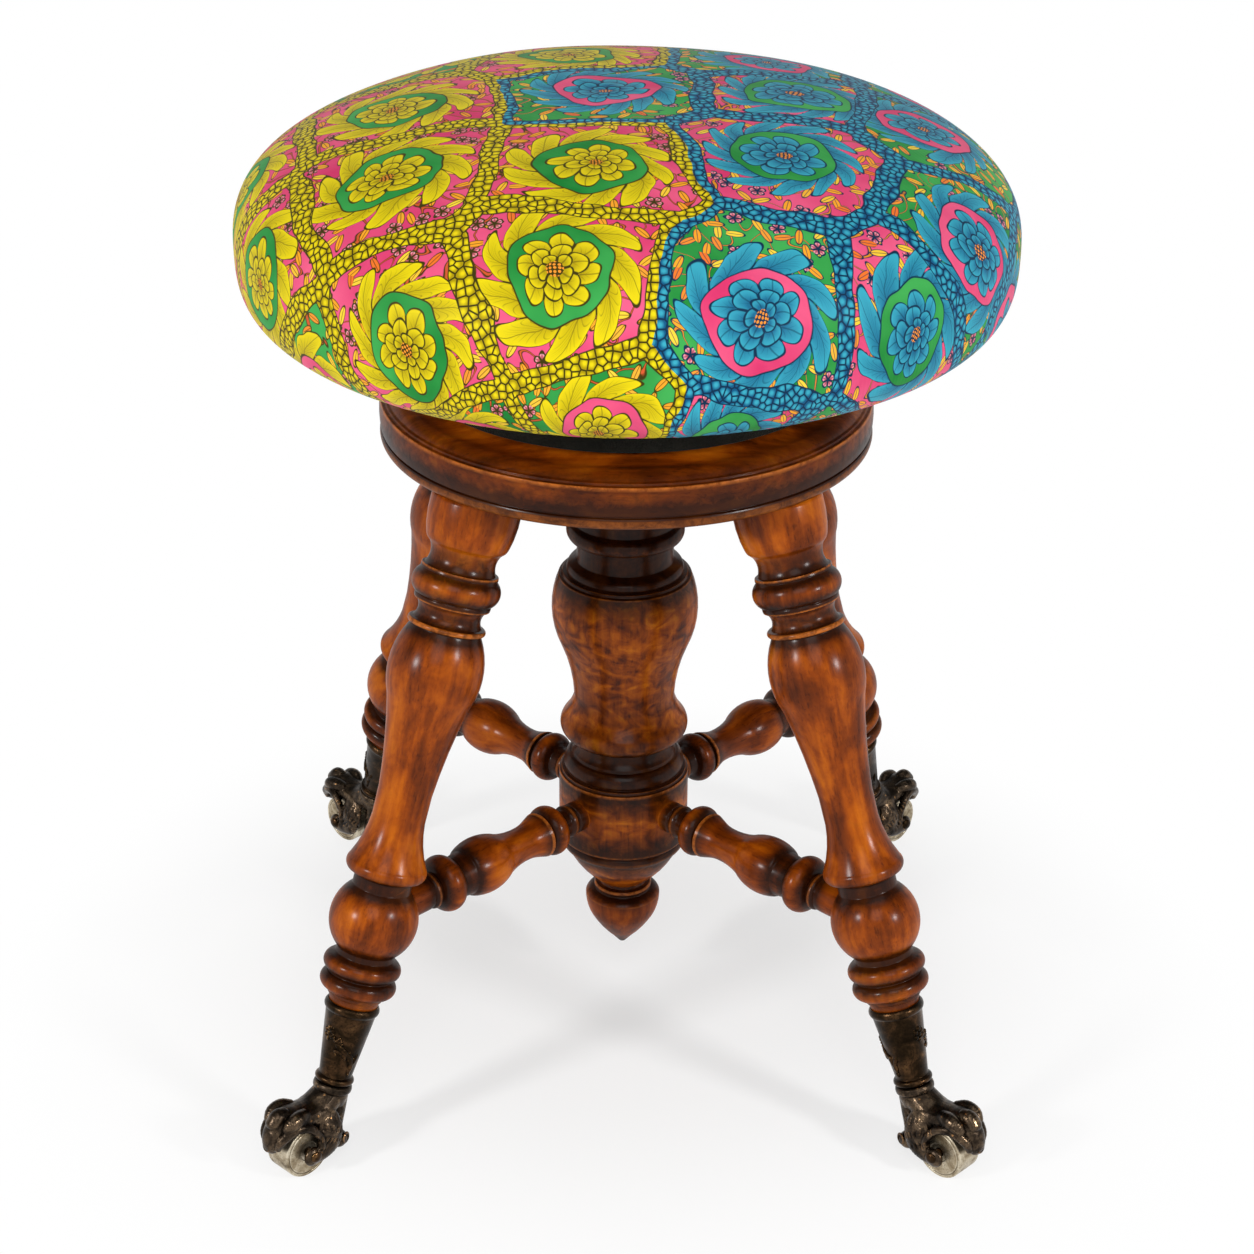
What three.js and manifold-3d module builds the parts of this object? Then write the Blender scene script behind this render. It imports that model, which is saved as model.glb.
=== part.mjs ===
// A revolving stool for a keyboard player. A round stuffed seat stands on a threaded spindle, which
// winds up and down in a nut let into a turned base plate. Four splayed turned legs and a turned
// centre column hang from the plate, four turned stretchers tie the column's drum to the legs, and
// each leg ends in a metal ferrule and an animal's paw that grips a small wheel.
// Millimetres, +Z up, with the origin on the floor under the spindle. The seat is wound fully down.
import * as THREE from "three";
import { mergeVertices } from "three/addons/utils/BufferGeometryUtils.js";
import Module from "manifold-3d";

const wasm = await Module();
wasm.setup();

// Clearances and facets
const gap = 0.3; // between two pieces that touch, or that slide in each other
const overrun = 2; // how far a cutting solid passes the face that it cuts
const quarterTurn = Math.PI / 2;
const arcStep = THREE.MathUtils.degToRad(75); // one facet of a rounded moulding
const cushionSides = 30;
const plateSides = 26;
const blockSides = 20;
const columnSides = 16;
const legSides = 10;
const stretcherSides = 8;
const pawSides = 6;
const smallSides = 6;
const wheelSides = 16;
const wellSides = 12;

// Corners: the four legs stand on the diagonals
const cornerCount = 4;
const cornerNames = ["back_left", "front_left", "front_right", "back_right"];
const firstCorner = THREE.MathUtils.degToRad(135);

// Wheels and their axles
const wheelRadius = 15;
const wheelWidth = 16;
const wheelRim = 1.2; // the rounded edge between tread and face
const axleRadius = 2.4;
const axleHeadRadius = 3.4;
const axleHeadHeight = 1.5;

// Paws
const wheelWellGap = 1.4; // from the tread to the paw over it
const wheelSideGap = 0.8; // from a face of the wheel to the toe beside it
const toeThickness = 5.6; // of the two toes that hold the axle
const pawReach = 25.2; // from the ferrule's foot out to the axle
const pawDrop = 28.8; // from the ferrule's foot down to the axle
const pawCollarRadius = 10.4;
const pawCollarHeight = 4.5;
const spigotRadius = 4.8;
const spigotLength = 11;

// Ferrules
const ferruleLength = 45.2;
const ferruleRadius = 15.6;
const ferruleScrewRadius = 1.5;
const ferruleScrewLength = 6.5;
const ferruleScrewRise = 5.2; // above the ferrule's foot
const ferruleScrewSeat = 8.7; // from the ferrule's axis to the screw's face
const ferruleScrewAngle = THREE.MathUtils.degToRad(135);
const screwHeadRatio = 1.9; // a screw head's radius to its shank's
const screwHeadHeight = 1.2;

// Legs
const legLength = 282.7; // turned length along the axis, from the plate's underside to the ferrule
const legRadius = 25; // at the fattest part
const legSplay = THREE.MathUtils.degToRad(20.1); // from the vertical
const legCircle = 103.7; // radius on which the axes meet the plate's underside
const legTenonRadius = 12;
const legTenonLength = 24;
const footTenonRadius = 9.6; // the tapered end inside the ferrule
const footTenonLength = 30;
const footTenonTaperShare = 0.72;

// Base plate
const plateRadius = 130;
const plateThickness = 30;

// Column and its finial
const columnRadius = 40; // at the fattest part of the vase
const drumDrop = 2.33; // from the stretchers' axes down to the middle of the column's drum
const columnTenonRadius = 22;
const columnTenonLength = 16;
const columnBoreRadius = 13.5;
const columnBoreDepth = 170; // below the plate's underside
const finialLength = 43.2;
const finialRadius = 21.5;
const finialTenonRadius = 7.5;
const finialTenonLength = 20;

// Stretchers
const stretcherRadius = 15.8;
const stretcherTenonRadius = 5;
const stretcherTenonLength = 14;

// Screw mechanism
const spindleRadius = 11;
const spindleDepth = 166; // below the plate's underside when the seat is down
const nutFlangeRadius = 33;
const nutFlangeThickness = 5;
const nutBossRadius = 18;
const nutScrewCount = 3;
const woodScrewRadius = 2.2;
const woodScrewLength = 12;
const washerRadius = 19;
const washerThickness = 2;
const spiderRadius = 44;
const spiderThickness = 5;
const spiderRoom = 2; // around the spider in its recess
const spiderArmWidth = 19;
const spiderBossRadius = 17;
const spiderBossHeight = 19;
const crossPinRadius = 2.5;

// Seat
const blockRadius = 108.5;
const blockHeight = 28.9;
const blockClothThickness = 1.2;
const blockClothHem = 16; // how far the cloth is turned in under the block
const boardRadius = 150;
const boardThickness = 12;
const cushionRadius = 198.5;
const crownHeight = 71.8; // above the cushion's widest level
const cushionDrop = 57.4; // below that level, if its curve ran on to the middle
const coverThickness = 1.2;
const coverHem = 24; // how far the cover is drawn in under the board
const crownPower = 2.41;
const dropPower = 3.5;

// Places that follow from the sizes
const axleHeight = wheelRadius * Math.cos(Math.PI / wheelSides); // a flat of the tread lies on the floor
const ferruleTop = legLength + gap;
const ferruleFoot = ferruleTop + ferruleLength;
const plateBottom = axleHeight + pawDrop + ferruleFoot * Math.cos(legSplay);
const plateTop = plateBottom + plateThickness;
const wheelCircle = legCircle + ferruleFoot * Math.sin(legSplay) + pawReach;
const washerBottom = plateTop + gap;
const blockBottom = washerBottom + washerThickness + gap;
const blockTop = blockBottom + blockHeight;
const boardBottom = blockTop + gap;
const boardTop = boardBottom + boardThickness;
const toeMiddle = wheelWidth / 2 + wheelSideGap + toeThickness / 2;

// Finishes
const walnut = finish("#5a2a12", 0.28, 0);
const burl = finish("#6b3315", 0.28, 0);
const rawWood = finish("#a98458", 0.8, 0);
const printedCloth = finish("#c9b53a", 0.7, 0);
const blackCloth = finish("#0c0b0b", 0.95, 0);
const wadding = finish("#e6ded0", 0.95, 0);
const bronze = finish("#3a2a1e", 0.38, 0.85);
const blackIron = finish("#1f1b19", 0.42, 0.85);
const paleSteel = finish("#8f877c", 0.45, 0.9);
const oldIron = finish("#4a4642", 0.5, 0.9);

function finish(color, roughness, metalness) {
  return new THREE.MeshStandardMaterial({ color, roughness, metalness });
}

// A closed geometry as a solid that can be joined and cut.
function solid(geometry) {
  const bare = geometry.clone();
  bare.deleteAttribute("normal");
  bare.deleteAttribute("uv");
  const merged = mergeVertices(bare);
  const vertProperties = merged.attributes.position.array;
  const triVerts = new Uint32Array(merged.index.array);
  return new wasm.Manifold(new wasm.Mesh({ numProp: 3, vertProperties, triVerts }));
}

// The geometry of a solid that has been joined or cut.
function geometryOf(body) {
  const { vertProperties, triVerts } = body.getMesh();
  const geometry = new THREE.BufferGeometry();
  geometry.setAttribute("position", new THREE.BufferAttribute(vertProperties, 3));
  geometry.setIndex(new THREE.BufferAttribute(triVerts, 1));
  geometry.computeVertexNormals();
  return geometry;
}

function mesh(name, geometry, material) {
  const made = new THREE.Mesh(geometry, material);
  made.name = name;
  return made;
}

// Outline points [out, along] of stations [along share, out share, bulge to the next station]. A
// bulge is the height of a rounded moulding over half its width: 1 is a half round, and a
// negative one is hollow.
function outline(stations, length, radius) {
  return stations.flatMap(([along, out, bulge = 0], i) => {
    const start = new THREE.Vector2(out * radius, along * length);
    if (!bulge) return [start];
    const [nextAlong, nextOut] = stations[i + 1];
    const end = new THREE.Vector2(nextOut * radius, nextAlong * length);
    const chord = end.clone().sub(start);
    const toCentre = new THREE.Vector2(-chord.y, chord.x).multiplyScalar((1 - bulge ** 2) / (4 * bulge));
    const centre = start.clone().add(end).multiplyScalar(0.5).add(toCentre);
    const sweep = 4 * Math.atan(bulge);
    const steps = Math.max(2, Math.round(Math.abs(sweep) / arcStep));
    return Array.from({ length: steps }, (_, k) => start.clone().rotateAround(centre, (sweep * k) / steps));
  });
}

// A turned piece about the Z axis, from outline points that run upwards outside.
function turned(points, sides) {
  return new THREE.LatheGeometry(points, sides).rotateX(quarterTurn);
}

// The same, with its outline running down from the origin.
function turnedDown(points, sides) {
  return new THREE.LatheGeometry(points, sides).rotateX(-quarterTurn);
}

function corners(pairs) {
  return pairs.map(([out, along]) => new THREE.Vector2(out, along));
}

// A round bar about Z, between two heights.
function rod(radius, from, to, sides = columnSides) {
  return turned(corners([[0, from], [radius, from], [radius, to], [0, to]]), sides);
}

// A screw about Z, its head's face at the origin and its shank pointing down.
function screwGeometry(radius, length, sides = smallSides) {
  const head = radius * screwHeadRatio;
  const points = [[0, -length], [radius, -length], [radius, -screwHeadHeight], [head, 0], [0, 0]];
  return turned(corners(points), sides);
}

// The hole that such a screw needs, open at its head.
function screwHole(radius, length) {
  const head = radius * screwHeadRatio + gap;
  const wide = radius + gap;
  const deep = length + gap;
  const seat = screwHeadHeight + gap;
  const points = [[0, -deep], [wide, -deep], [wide, -seat], [head, -gap], [head, overrun], [0, overrun]];
  return solid(turned(corners(points), smallSides));
}

function moved(body, x, y, z) {
  return body.transform(new THREE.Matrix4().makeTranslation(x, y, z).toArray());
}

function spun(body, angle) {
  return body.transform(new THREE.Matrix4().makeRotationZ(angle).toArray());
}

function cornerAngle(i) {
  return firstCorner + (i * 2 * Math.PI) / cornerCount;
}

// Legs

// The ball that takes the stretcher
const ballShare = 0.835;
const ballHalfShare = 0.062;
const ballNeckShare = 0.62;
const ballBulgeShare = 0.451;
const ballAlong = ballShare * legLength;
const ballRadius = ballNeckShare * legRadius + ballBulgeShare * ballHalfShare * legLength;
const ballCircle = legCircle + ballAlong * Math.sin(legSplay);
const stretcherHeight = plateBottom - ballAlong * Math.cos(legSplay);

const legShares = [
  [-0.034, 0],
  [-0.034, 0.76, 0.165],
  [0.11, 0.85],
  [0.118, 0.75, -0.3],
  [0.163, 0.75],
  [0.168, 0.81, 0.47],
  [0.221, 0.79],
  [0.225, 0.73, -0.4],
  [0.26, 0.73],
  [0.272, 0.79],
  [0.278, 0.79, 0.224],
  [0.41, 0.86, -0.036],
  [0.584, 0.565],
  [0.637, 0.56, -0.1],
  [0.722, 0.815, 0.4],
  [0.745, 0.79],
  [0.752, 0.62],
  [ballShare - ballHalfShare, ballNeckShare, ballBulgeShare],
  [ballShare + ballHalfShare, ballNeckShare],
  [0.908, 0.62],
  [0.911, 0.69, 0.75],
  [0.943, 0.69],
  [0.946, 0.685, 0.72],
  [0.978, 0.68],
  [0.982, 0.57],
  [1, 0.56],
];

const legPlace = new THREE.Matrix4().makeRotationY(-legSplay).setPosition(legCircle, 0, plateBottom);

function legGeometry() {
  const points = outline(legShares, legLength, legRadius);
  const tip = legLength + footTenonLength;
  points.push(
    ...corners([[footTenonRadius, legLength], [footTenonRadius * footTenonTaperShare, tip], [0, tip]]),
  );
  const body = solid(turnedDown(points, legSides)).transform(legPlace.toArray());
  const slabSide = 8 * legRadius;
  const slab = solid(new THREE.BoxGeometry(slabSide, slabSide, slabSide));
  const abovePlate = moved(slab, legCircle, 0, plateBottom - gap + slabSide / 2);
  const tenon = solid(rod(legTenonRadius, -legRadius, legTenonLength, legSides));
  const tenonHere = tenon.transform(legPlace.toArray());
  const socket = solid(rod(stretcherTenonRadius + gap, 0, ballRadius + overrun, stretcherSides));
  const socketPlace = new THREE.Matrix4()
    .makeRotationY(-quarterTurn)
    .setPosition(ballCircle - ballRadius + stretcherTenonLength + gap, 0, stretcherHeight);
  return geometryOf(body.subtract(abovePlate).add(tenonHere).subtract(socket.transform(socketPlace.toArray())));
}

// Stretchers

const stretcherShares = [
  [0, 0],
  [0, 0.545],
  [0.036, 0.545],
  [0.042, 0.48],
  [0.046, 0.5, 0.5],
  [0.088, 0.5],
  [0.124, 0.53],
  [0.13, 0.62, 0.75],
  [0.224, 0.62],
  [0.23, 0.81],
  [0.298, 0.63],
  [0.33, 0.6, -0.1],
  [0.47, 0.76, 0.23],
  [0.67, 0.87],
  [0.68, 0.78],
  [0.745, 0.72],
  [0.752, 0.8, 0.55],
  [0.842, 0.8],
  [0.852, 0.7],
  [0.86, 0.56, 0.6],
  [0.898, 0.56],
  [0.912, 0.6],
  [1, 0.59],
  [1, 0],
];

// Column

const drumRadius = 0.903 * columnRadius;
const drumTopShare = 0.26;
const drumBottomShare = 0.116;

// As long as brings its drum down to the stretchers
const columnLength =
  (plateBottom - gap - stretcherHeight + drumDrop) / (1 - (drumTopShare + drumBottomShare) / 2);

// From the foot of the column up to the plate's underside
const columnShares = [
  [0, 0.34],
  [0.012, 0.43, 0.12],
  [0.086, 0.8],
  [0.09, 0.85, 0.35],
  [0.108, 0.85],
  [drumBottomShare, 0.903],
  [drumTopShare, 0.903],
  [0.264, 0.82],
  [0.268, 0.81, 0.35],
  [0.302, 0.74, -0.2],
  [0.33, 0.635],
  [0.342, 0.65],
  [0.35, 0.83, 0.4],
  [0.386, 0.83, -0.12],
  [0.43, 0.69, -0.09],
  [0.55, 0.88, 0.21],
  [0.7, 0.9],
  [0.708, 0.76],
  [0.72, 0.76],
  [0.73, 0.66],
  [0.772, 0.65],
  [0.778, 0.76, 0.4],
  [0.806, 0.76],
  [0.812, 0.7, -0.14],
  [0.94, 0.93],
  [0.95, 1.0],
  [1, 1.04],
];

function columnGeometry() {
  const shift = new THREE.Vector2(0, plateBottom - gap - columnLength);
  const points = outline(columnShares, columnLength, columnRadius).map((p) => p.add(shift));
  const foot = plateBottom - gap - columnLength;
  const tenonTop = plateBottom - gap + columnTenonLength;
  const floor = plateBottom - columnBoreDepth;
  const tenon = corners([
    [columnTenonRadius, plateBottom - gap],
    [columnTenonRadius, tenonTop],
    [columnBoreRadius, tenonTop],
    [columnBoreRadius, floor],
    [0, floor],
  ]);
  const socketTop = foot + finialTenonLength + gap;
  const socket = corners([
    [0, socketTop],
    [finialTenonRadius + gap, socketTop],
    [finialTenonRadius + gap, foot],
  ]);
  let body = solid(turned([...socket, ...points, ...tenon], columnSides));
  const hole = solid(rod(stretcherTenonRadius + gap, 0, drumRadius, stretcherSides));
  for (let i = 0; i < cornerCount; i++) {
    const place = new THREE.Matrix4()
      .makeRotationZ(cornerAngle(i))
      .multiply(new THREE.Matrix4().makeRotationY(quarterTurn))
      .setPosition(0, 0, stretcherHeight);
    const inner = drumRadius - stretcherTenonLength - gap;
    const inward = new THREE.Matrix4().makeTranslation(0, 0, inner);
    body = body.subtract(hole.transform(place.multiply(inward).toArray()));
  }
  return geometryOf(body);
}

// The finial hangs from the column's foot: an onion with a pointed tip, under a small cup.
const finialShares = [
  [0, 0],
  [0, 0.08],
  [0.12, 0.29, 0.07],
  [0.48, 0.84, 0.12],
  [0.78, 0.98, 0.3],
  [0.86, 0.74],
  [0.88, 0.72, 0.5],
  [0.95, 0.72],
  [0.96, 0.62],
  [1, 0.6],
];

function finialGeometry() {
  const foot = plateBottom - gap - columnLength - gap - finialLength;
  const points = outline(finialShares, finialLength, finialRadius);
  const top = finialLength + finialTenonLength;
  points.push(...corners([[finialTenonRadius, finialLength], [finialTenonRadius, top], [0, top]]));
  return turned(points, columnSides).translate(0, 0, foot);
}

function stretcherGeometry() {
  const from = drumRadius + gap;
  const length = ballCircle - ballRadius - gap - from;
  const points = outline(stretcherShares, length, stretcherRadius);
  const inner = solid(turned(points, stretcherSides));
  const tenon = rod(
    stretcherTenonRadius,
    -stretcherTenonLength,
    length + stretcherTenonLength,
    stretcherSides,
  );
  const body = inner.add(solid(tenon));
  const place = new THREE.Matrix4().makeRotationY(quarterTurn).setPosition(from, 0, stretcherHeight);
  return geometryOf(body.transform(place.toArray()));
}

// Base plate

const plateShares = [
  [0, 0.985, 0.35],
  [0.183, 0.99],
  [0.19, 0.982],
  [0.215, 0.982],
  [0.222, 0.991, 0.08],
  [0.74, 0.991],
  [0.75, 0.976],
  [0.79, 0.976],
  [0.8, 0.964, 0.3],
  [0.93, 0.9, -0.15],
  [1, 0.82],
];

function plateGeometry() {
  const shift = new THREE.Vector2(0, plateBottom);
  const rim = outline(plateShares, plateThickness, plateRadius).map((p) => p.add(shift));
  const recess = plateTop - nutFlangeThickness - gap;
  const tenonTop = plateBottom + columnTenonLength;
  const bore = corners([
    [nutFlangeRadius + gap, plateTop],
    [nutFlangeRadius + gap, recess],
    [nutBossRadius + gap, recess],
    [nutBossRadius + gap, tenonTop],
    [columnTenonRadius + gap, tenonTop],
    [columnTenonRadius + gap, plateBottom],
  ]);
  let body = solid(turned([...rim, ...bore, rim[0]], plateSides));
  const mortise = solid(rod(legTenonRadius + gap, -legRadius, legTenonLength + gap, legSides));
  for (let i = 0; i < cornerCount; i++) {
    body = body.subtract(spun(mortise.transform(legPlace.toArray()), cornerAngle(i)));
  }
  const hole = screwHole(woodScrewRadius, woodScrewLength);
  for (const [x, y] of nutScrewPlaces()) body = body.subtract(moved(hole, x, y, plateTop));
  return geometryOf(body);
}

// Screw mechanism

function circlePlaces(count, radius, start = 0) {
  return Array.from({ length: count }, (_, i) => {
    const angle = start + (i * 2 * Math.PI) / count;
    return [radius * Math.cos(angle), radius * Math.sin(angle)];
  });
}

function nutScrewPlaces() {
  return circlePlaces(nutScrewCount, (nutFlangeRadius + nutBossRadius) / 2, quarterTurn);
}

function nutGeometry() {
  const flangeBottom = plateTop - nutFlangeThickness;
  const bossBottom = plateBottom - gap + columnTenonLength + gap;
  const bore = spindleRadius + gap;
  const points = corners([
    [bore, bossBottom],
    [nutBossRadius, bossBottom],
    [nutBossRadius, flangeBottom],
    [nutFlangeRadius, flangeBottom],
    [nutFlangeRadius, plateTop],
    [bore, plateTop],
    [bore, bossBottom],
  ]);
  let body = solid(turned(points, columnSides));
  const hole = screwHole(woodScrewRadius, woodScrewLength);
  for (const [x, y] of nutScrewPlaces()) body = body.subtract(moved(hole, x, y, plateTop));
  return geometryOf(body);
}

const pinHeight = blockBottom + (spiderThickness + spiderBossHeight) / 2 + spiderThickness / 2;
const spindleTop = blockBottom + spiderBossHeight;

// A hole for the cross pin, which lies along X.
function crossPinHole() {
  const hole = solid(rod(crossPinRadius + gap, -blockRadius / 2, blockRadius / 2, smallSides));
  const place = new THREE.Matrix4().makeRotationY(quarterTurn).setPosition(0, 0, pinHeight);
  return hole.transform(place.toArray());
}

function spindleGeometry() {
  const body = solid(rod(spindleRadius, plateBottom - spindleDepth, spindleTop, columnSides));
  return geometryOf(body.subtract(crossPinHole()));
}

function crossPinGeometry() {
  const half = spiderBossRadius - gap;
  return rod(crossPinRadius, -half, half, smallSides).rotateY(quarterTurn).translate(0, 0, pinHeight);
}

function washerGeometry() {
  const bore = spindleRadius + gap;
  const top = washerBottom + washerThickness;
  const points = corners([
    [bore, washerBottom],
    [washerRadius, washerBottom],
    [washerRadius, top],
    [bore, top],
    [bore, washerBottom],
  ]);
  return turned(points, columnSides);
}

const spiderScrewCircle = spiderRadius - spiderArmWidth / 2;

function spiderScrewPlaces() {
  return circlePlaces(cornerCount, spiderScrewCircle, quarterTurn / 2);
}

// Turns a piece made for a face that looks up so that it serves one that looks down.
const faceDown = new THREE.Matrix4().makeRotationX(Math.PI);

// The cast spider under the seat: four round-ended arms on a boss that the spindle is pinned into.
function spiderGeometry() {
  const arm = new THREE.Shape();
  const half = spiderArmWidth / 2;
  arm.moveTo(0, -half);
  arm.lineTo(spiderScrewCircle, -half);
  arm.absarc(spiderScrewCircle, 0, half, -quarterTurn, quarterTurn);
  arm.lineTo(0, half);
  const bar = solid(
    new THREE.ExtrudeGeometry(arm, { depth: spiderThickness, bevelEnabled: false, curveSegments: smallSides / 2 }),
  );
  let body = solid(rod(spiderBossRadius, 0, spiderBossHeight, columnSides));
  for (let i = 0; i < cornerCount; i++) body = body.add(spun(bar, cornerAngle(i)));
  body = moved(body, 0, 0, blockBottom);
  const bore = rod(spindleRadius + gap, blockBottom - overrun, spindleTop + overrun, columnSides);
  body = body.subtract(solid(bore)).subtract(crossPinHole());
  const hole = screwHole(woodScrewRadius, woodScrewLength).transform(faceDown.toArray());
  for (const [x, y] of spiderScrewPlaces()) body = body.subtract(moved(hole, x, y, blockBottom));
  return geometryOf(body);
}

// Seat

// The block under the board, with a round recess for the spider and its boss.
function blockGeometry() {
  const recess = blockBottom + spiderThickness + gap;
  const top = spindleTop + gap;
  const hem = blockBottom + blockClothThickness + gap;
  const hemIn = blockRadius - blockClothHem - gap;
  const points = corners([
    [0, top],
    [spiderBossRadius + gap, top],
    [spiderBossRadius + gap, recess],
    [spiderRadius + spiderRoom, recess],
    [spiderRadius + spiderRoom, blockBottom],
    [hemIn, blockBottom],
    [hemIn, hem],
    [blockRadius, hem],
    [blockRadius, blockTop],
    [0, blockTop],
  ]);
  let body = solid(turned(points, blockSides));
  const hole = screwHole(woodScrewRadius, woodScrewLength).transform(faceDown.toArray());
  for (const [x, y] of spiderScrewPlaces()) body = body.subtract(moved(hole, x, y, blockBottom));
  return geometryOf(body);
}

function blockClothGeometry() {
  const inside = blockRadius + gap;
  const outside = inside + blockClothThickness;
  const under = blockBottom + blockClothThickness;
  const hemIn = blockRadius - blockClothHem;
  const points = corners([
    [hemIn, blockBottom],
    [outside - blockClothThickness, blockBottom],
    [outside, under],
    [outside, blockTop],
    [inside, blockTop],
    [inside, under],
    [hemIn, under],
    [hemIn, blockBottom],
  ]);
  return turned(points, blockSides);
}

// The cushion's curve: how far it drops below its widest level at a given radius.
function dropAt(radius) {
  return cushionDrop * (1 - (radius / cushionRadius) ** dropPower) ** (1 / dropPower);
}

const coverBottom = boardBottom - gap - coverThickness;
const widestLevel = coverBottom + dropAt(boardRadius);
const crownSteps = 7;
const dropSteps = 4;

// Half of the cushion's section from its underside, at the given radius, up to the crown.
function cushionCurve(fromRadius, inset) {
  const radius = cushionRadius - inset;
  const start = Math.acos((fromRadius / radius) ** (dropPower / 2));
  const low = Array.from({ length: dropSteps }, (_, i) => {
    const angle = start * (1 - i / dropSteps);
    const out = radius * Math.cos(angle) ** (2 / dropPower);
    return [out, widestLevel - (cushionDrop - inset) * Math.sin(angle) ** (2 / dropPower)];
  });
  const high = Array.from({ length: crownSteps + 1 }, (_, i) => {
    const angle = (quarterTurn * i) / crownSteps;
    const out = i < crownSteps ? radius * Math.cos(angle) ** (2 / crownPower) : 0;
    return [out, widestLevel + (crownHeight - inset) * Math.sin(angle) ** (2 / crownPower)];
  });
  return corners([...low, ...high]);
}

function coverGeometry() {
  const hemIn = boardRadius - coverHem;
  const hemTop = coverBottom + coverThickness;
  const outside = cushionCurve(boardRadius, 0);
  const inside = cushionCurve(boardRadius, coverThickness).reverse();
  const hem = corners([[hemIn, hemTop], [hemIn, coverBottom]]);
  return turned([...outside, ...inside, ...hem, outside[0]], cushionSides);
}

function foamGeometry() {
  const inset = coverThickness + gap;
  const seat = boardTop + gap;
  const curve = cushionCurve(boardRadius + gap, inset);
  return turned([...corners([[0, seat], [boardRadius + gap, seat]]), ...curve], cushionSides);
}

// Ferrules

const ferruleFootShare = 0.58;
const ferruleShares = [
  [0, 0.86, 0.5],
  [0.11, 0.87],
  [0.14, 0.85],
  [0.91, 0.56],
  [0.92, 0.62, 0.5],
  [0.99, 0.62],
];

function ferruleGeometry() {
  const bore = footTenonRadius + gap;
  const step = footTenonLength + gap;
  const points = [
    ...outline(ferruleShares, ferruleLength, ferruleRadius),
    ...corners([
      [ferruleRadius * ferruleFootShare, ferruleLength],
      [spigotRadius + gap, ferruleLength],
      [spigotRadius + gap, step],
      [footTenonRadius * footTenonTaperShare + gap, step],
      [bore, 0],
    ]),
  ];
  const body = solid(turnedDown([...points, points[0]], legSides));
  return geometryOf(body.subtract(ferruleScrewHole(-ferruleLength)));
}

// The place of the screw that holds the ferrule on the paw's spigot, in a frame whose Z is the
// leg's axis, with the ferrule's foot at the given height. The screw's own Z points outwards.
function ferruleScrewPlace(foot) {
  return new THREE.Matrix4()
    .makeRotationZ(ferruleScrewAngle)
    .multiply(new THREE.Matrix4().makeTranslation(ferruleScrewSeat, 0, foot + ferruleScrewRise))
    .multiply(new THREE.Matrix4().makeRotationY(quarterTurn));
}

function ferruleScrewHole(foot) {
  const hole = screwHole(ferruleScrewRadius, ferruleScrewLength);
  return hole.transform(ferruleScrewPlace(foot).toArray());
}

function ferruleScrewGeometry() {
  const screw = screwGeometry(ferruleScrewRadius, ferruleScrewLength).translate(0, 0, -gap);
  return screw.applyMatrix4(ferruleScrewPlace(-ferruleLength));
}

// Wheels, about the Y axis, with a flat of the tread at the bottom.
function wheelGeometry() {
  const half = wheelWidth / 2;
  const bore = axleRadius + gap;
  const points = corners([
    [bore, -half],
    [wheelRadius - wheelRim, -half],
    [wheelRadius, -half + wheelRim],
    [wheelRadius, half - wheelRim],
    [wheelRadius - wheelRim, half],
    [bore, half],
    [bore, -half],
  ]);
  return new THREE.LatheGeometry(points, wheelSides).rotateY(Math.PI / wheelSides);
}

// The axle is a pin riveted over outside both toes.
function axleGeometry() {
  const seat = toeMiddle + toeThickness / 2 + gap;
  const dome = seat + axleHeadHeight;
  const crown = axleHeadRadius / 2;
  const points = corners([
    [0, -dome],
    [crown, -dome],
    [axleHeadRadius, -seat - gap],
    [axleHeadRadius, -seat],
    [axleRadius, -seat],
    [axleRadius, seat],
    [axleHeadRadius, seat],
    [axleHeadRadius, seat + gap],
    [crown, dome],
    [0, dome],
  ]);
  return new THREE.LatheGeometry(points, smallSides);
}

// Paws, about the axle: X points out from the stool, Y along the axle and Z up.

// A limb through stations [x, y, z, half height, half width], whose sections are ellipses across
// its path.
function limb(stations) {
  const sides = pawSides;
  const points = stations.map(([x, y, z]) => new THREE.Vector3(x * wheelRadius, y * toeMiddle, z * wheelRadius));
  const positions = [];
  const index = [];
  stations.forEach(([, , , high, wide], i) => {
    const before = points[Math.max(i - 1, 0)];
    const after = points[Math.min(i + 1, points.length - 1)];
    const along = after.clone().sub(before).normalize();
    const across = new THREE.Vector3(0, 1, 0).addScaledVector(along, -along.y).normalize();
    const up = new THREE.Vector3().crossVectors(along, across);
    for (let k = 0; k < sides; k++) {
      const angle = ((k + 0.5) * 2 * Math.PI) / sides;
      const p = points[i].clone();
      p.addScaledVector(across, Math.cos(angle) * wide * toeMiddle);
      p.addScaledVector(up, Math.sin(angle) * high * wheelRadius);
      positions.push(p.x, p.y, p.z);
    }
  });
  const last = (stations.length - 1) * sides;
  for (let i = 0; i < stations.length - 1; i++) {
    for (let k = 0; k < sides; k++) {
      const a = i * sides + k;
      const b = i * sides + ((k + 1) % sides);
      index.push(a, b, b + sides, a, b + sides, a + sides);
    }
  }
  for (let k = 1; k < sides - 1; k++) {
    index.push(0, k + 1, k);
    index.push(last, last + k, last + k + 1);
  }
  const geometry = new THREE.BufferGeometry();
  geometry.setAttribute("position", new THREE.Float32BufferAttribute(positions, 3));
  geometry.setIndex(index);
  return solid(geometry);
}

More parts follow.
